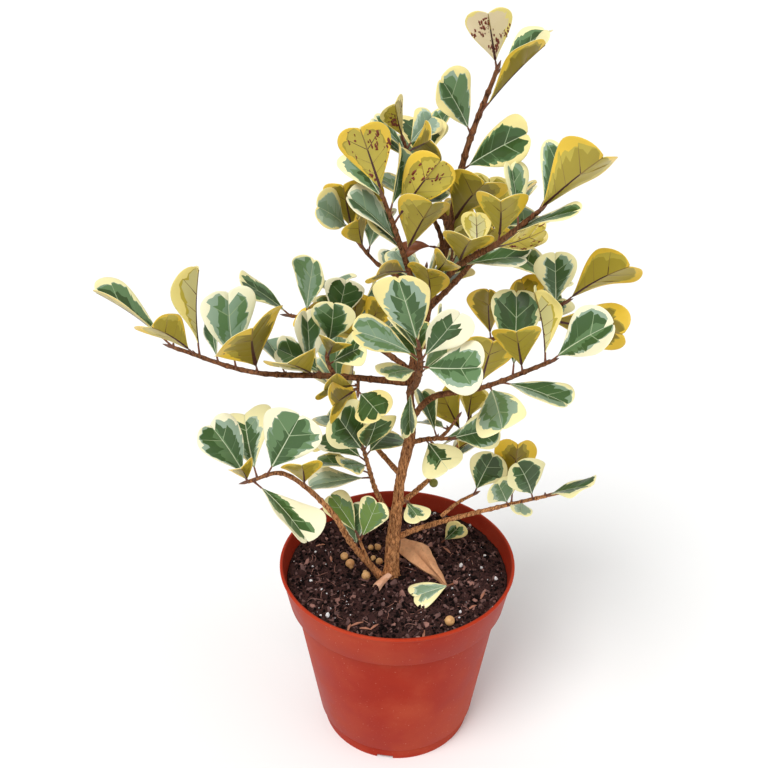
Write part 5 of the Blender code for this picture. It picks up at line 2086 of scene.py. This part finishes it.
# %% Curl of bark
deselect()
bpy.ops.mesh.primitive_cylinder_add(vertices=20, radius=0.5, depth=1, end_fill_type="NOTHING")
curl = bpy.context.object
curl.name = "bark_curl"
bpy.ops.object.mode_set(mode="EDIT")
bpy.ops.mesh.select_all(action="SELECT")
bpy.ops.mesh.bisect(plane_co=(0, -0.12, 0), plane_no=(0, 1, 0), clear_inner=True)
bpy.ops.mesh.select_all(action="SELECT")
bpy.ops.mesh.subdivide(number_cuts=5)
bpy.ops.object.mode_set(mode="OBJECT")
CURL_ENDS = (Vector((-2, -7, 135)), Vector((-15, -23, 134)))
reach = CURL_ENDS[0] - CURL_ENDS[1]
lay = reach.to_track_quat("Z", "Y")
for vertex in curl.data.vertices:
    share = vertex.co.z + 0.5
    wide = 6.4 - 3.2 * share
    local = Vector((vertex.co.x * wide, vertex.co.y * wide, 0))
    bend = 1.2 * math.sin(math.pi * share)
    place = CURL_ENDS[1] + reach * share + lay @ local + UP * bend
    vertex.co = place * MM + noise.noise_vector(place * 0.6) * 0.5 * MM
rind = curl.modifiers.new("thickness", "SOLIDIFY")
rind.thickness = 0.6 * MM
bpy.ops.object.modifier_apply(modifier="thickness")
bpy.ops.object.shade_smooth()
curl.data.materials.append(dry_finish("curl_skin", (246, 204, 176), (222, 164, 128)))
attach(curl, "root")

# %% Fresh leaves on the soil
fresh = Sheaf()
rng = random.Random("fresh leaves")
for root, leaf in (
    ((39.3, -23.6, 138), (414, 599, 31, 1, 35, 0.15, "cream", 1.0)),
    ((34.7, 29.4, 134), (461, 524, 24, 1, 25, 0.2, "cream", 1.0)),
):
    grow_leaf(fresh, seen_leaf(mm(root), *leaf), rng)
fresh_piece = fresh.build("leaves_on_soil", leaf_finishes)
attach(fresh_piece, "root")

# %% [markdown]
# ## Studio
#
# A plain pale floor and soft light from large lamps. The camera looks down at the pot from
# the front, as the picture does.

# %% Floor, lamps and camera
FLOOR_SIZE = 60
SKY_STRENGTH = 0.55
bpy.context.scene.view_settings.view_transform = "Standard"
bpy.ops.object.select_all(action="DESELECT")
bpy.ops.mesh.primitive_plane_add(size=FLOOR_SIZE, location=(0, 0, 0))
floor = bpy.context.object
floor.name = "floor"
floor_finish, floor_shader, floor_net = finish("floor_pale", 0.8, srgb(248, 248, 247))
floor.data.materials.append(floor_finish)

world = bpy.data.worlds.new("studio")
bpy.context.scene.world = world
world.use_nodes = True
world.node_tree.nodes["Background"].inputs["Color"].default_value = (1, 1, 1, 1)
world.node_tree.nodes["Background"].inputs["Strength"].default_value = SKY_STRENGTH

for name, aim_from, strength, softness in (
    ("key", (-0.4, -0.6, 1.15), 2.1, 30),
    ("fill", (0.8, -0.4, 0.5), 0.4, 50),
):
    lamp = bpy.data.lights.new(name, "SUN")
    lamp.energy = strength
    lamp.angle = math.radians(softness)
    holder = bpy.data.objects.new(name, lamp)
    holder.rotation_euler = Vector(aim_from).to_track_quat("Z", "Y").to_euler()
    bpy.context.scene.collection.objects.link(holder)

eye = bpy.data.cameras.new("camera")
eye.lens = LENS
eye.sensor_width = SENSOR
camera = bpy.data.objects.new("camera", eye)
camera.location = EYE
camera.rotation_euler = (EYE_TILT, 0, 0)
bpy.context.scene.collection.objects.link(camera)
bpy.context.scene.camera = camera
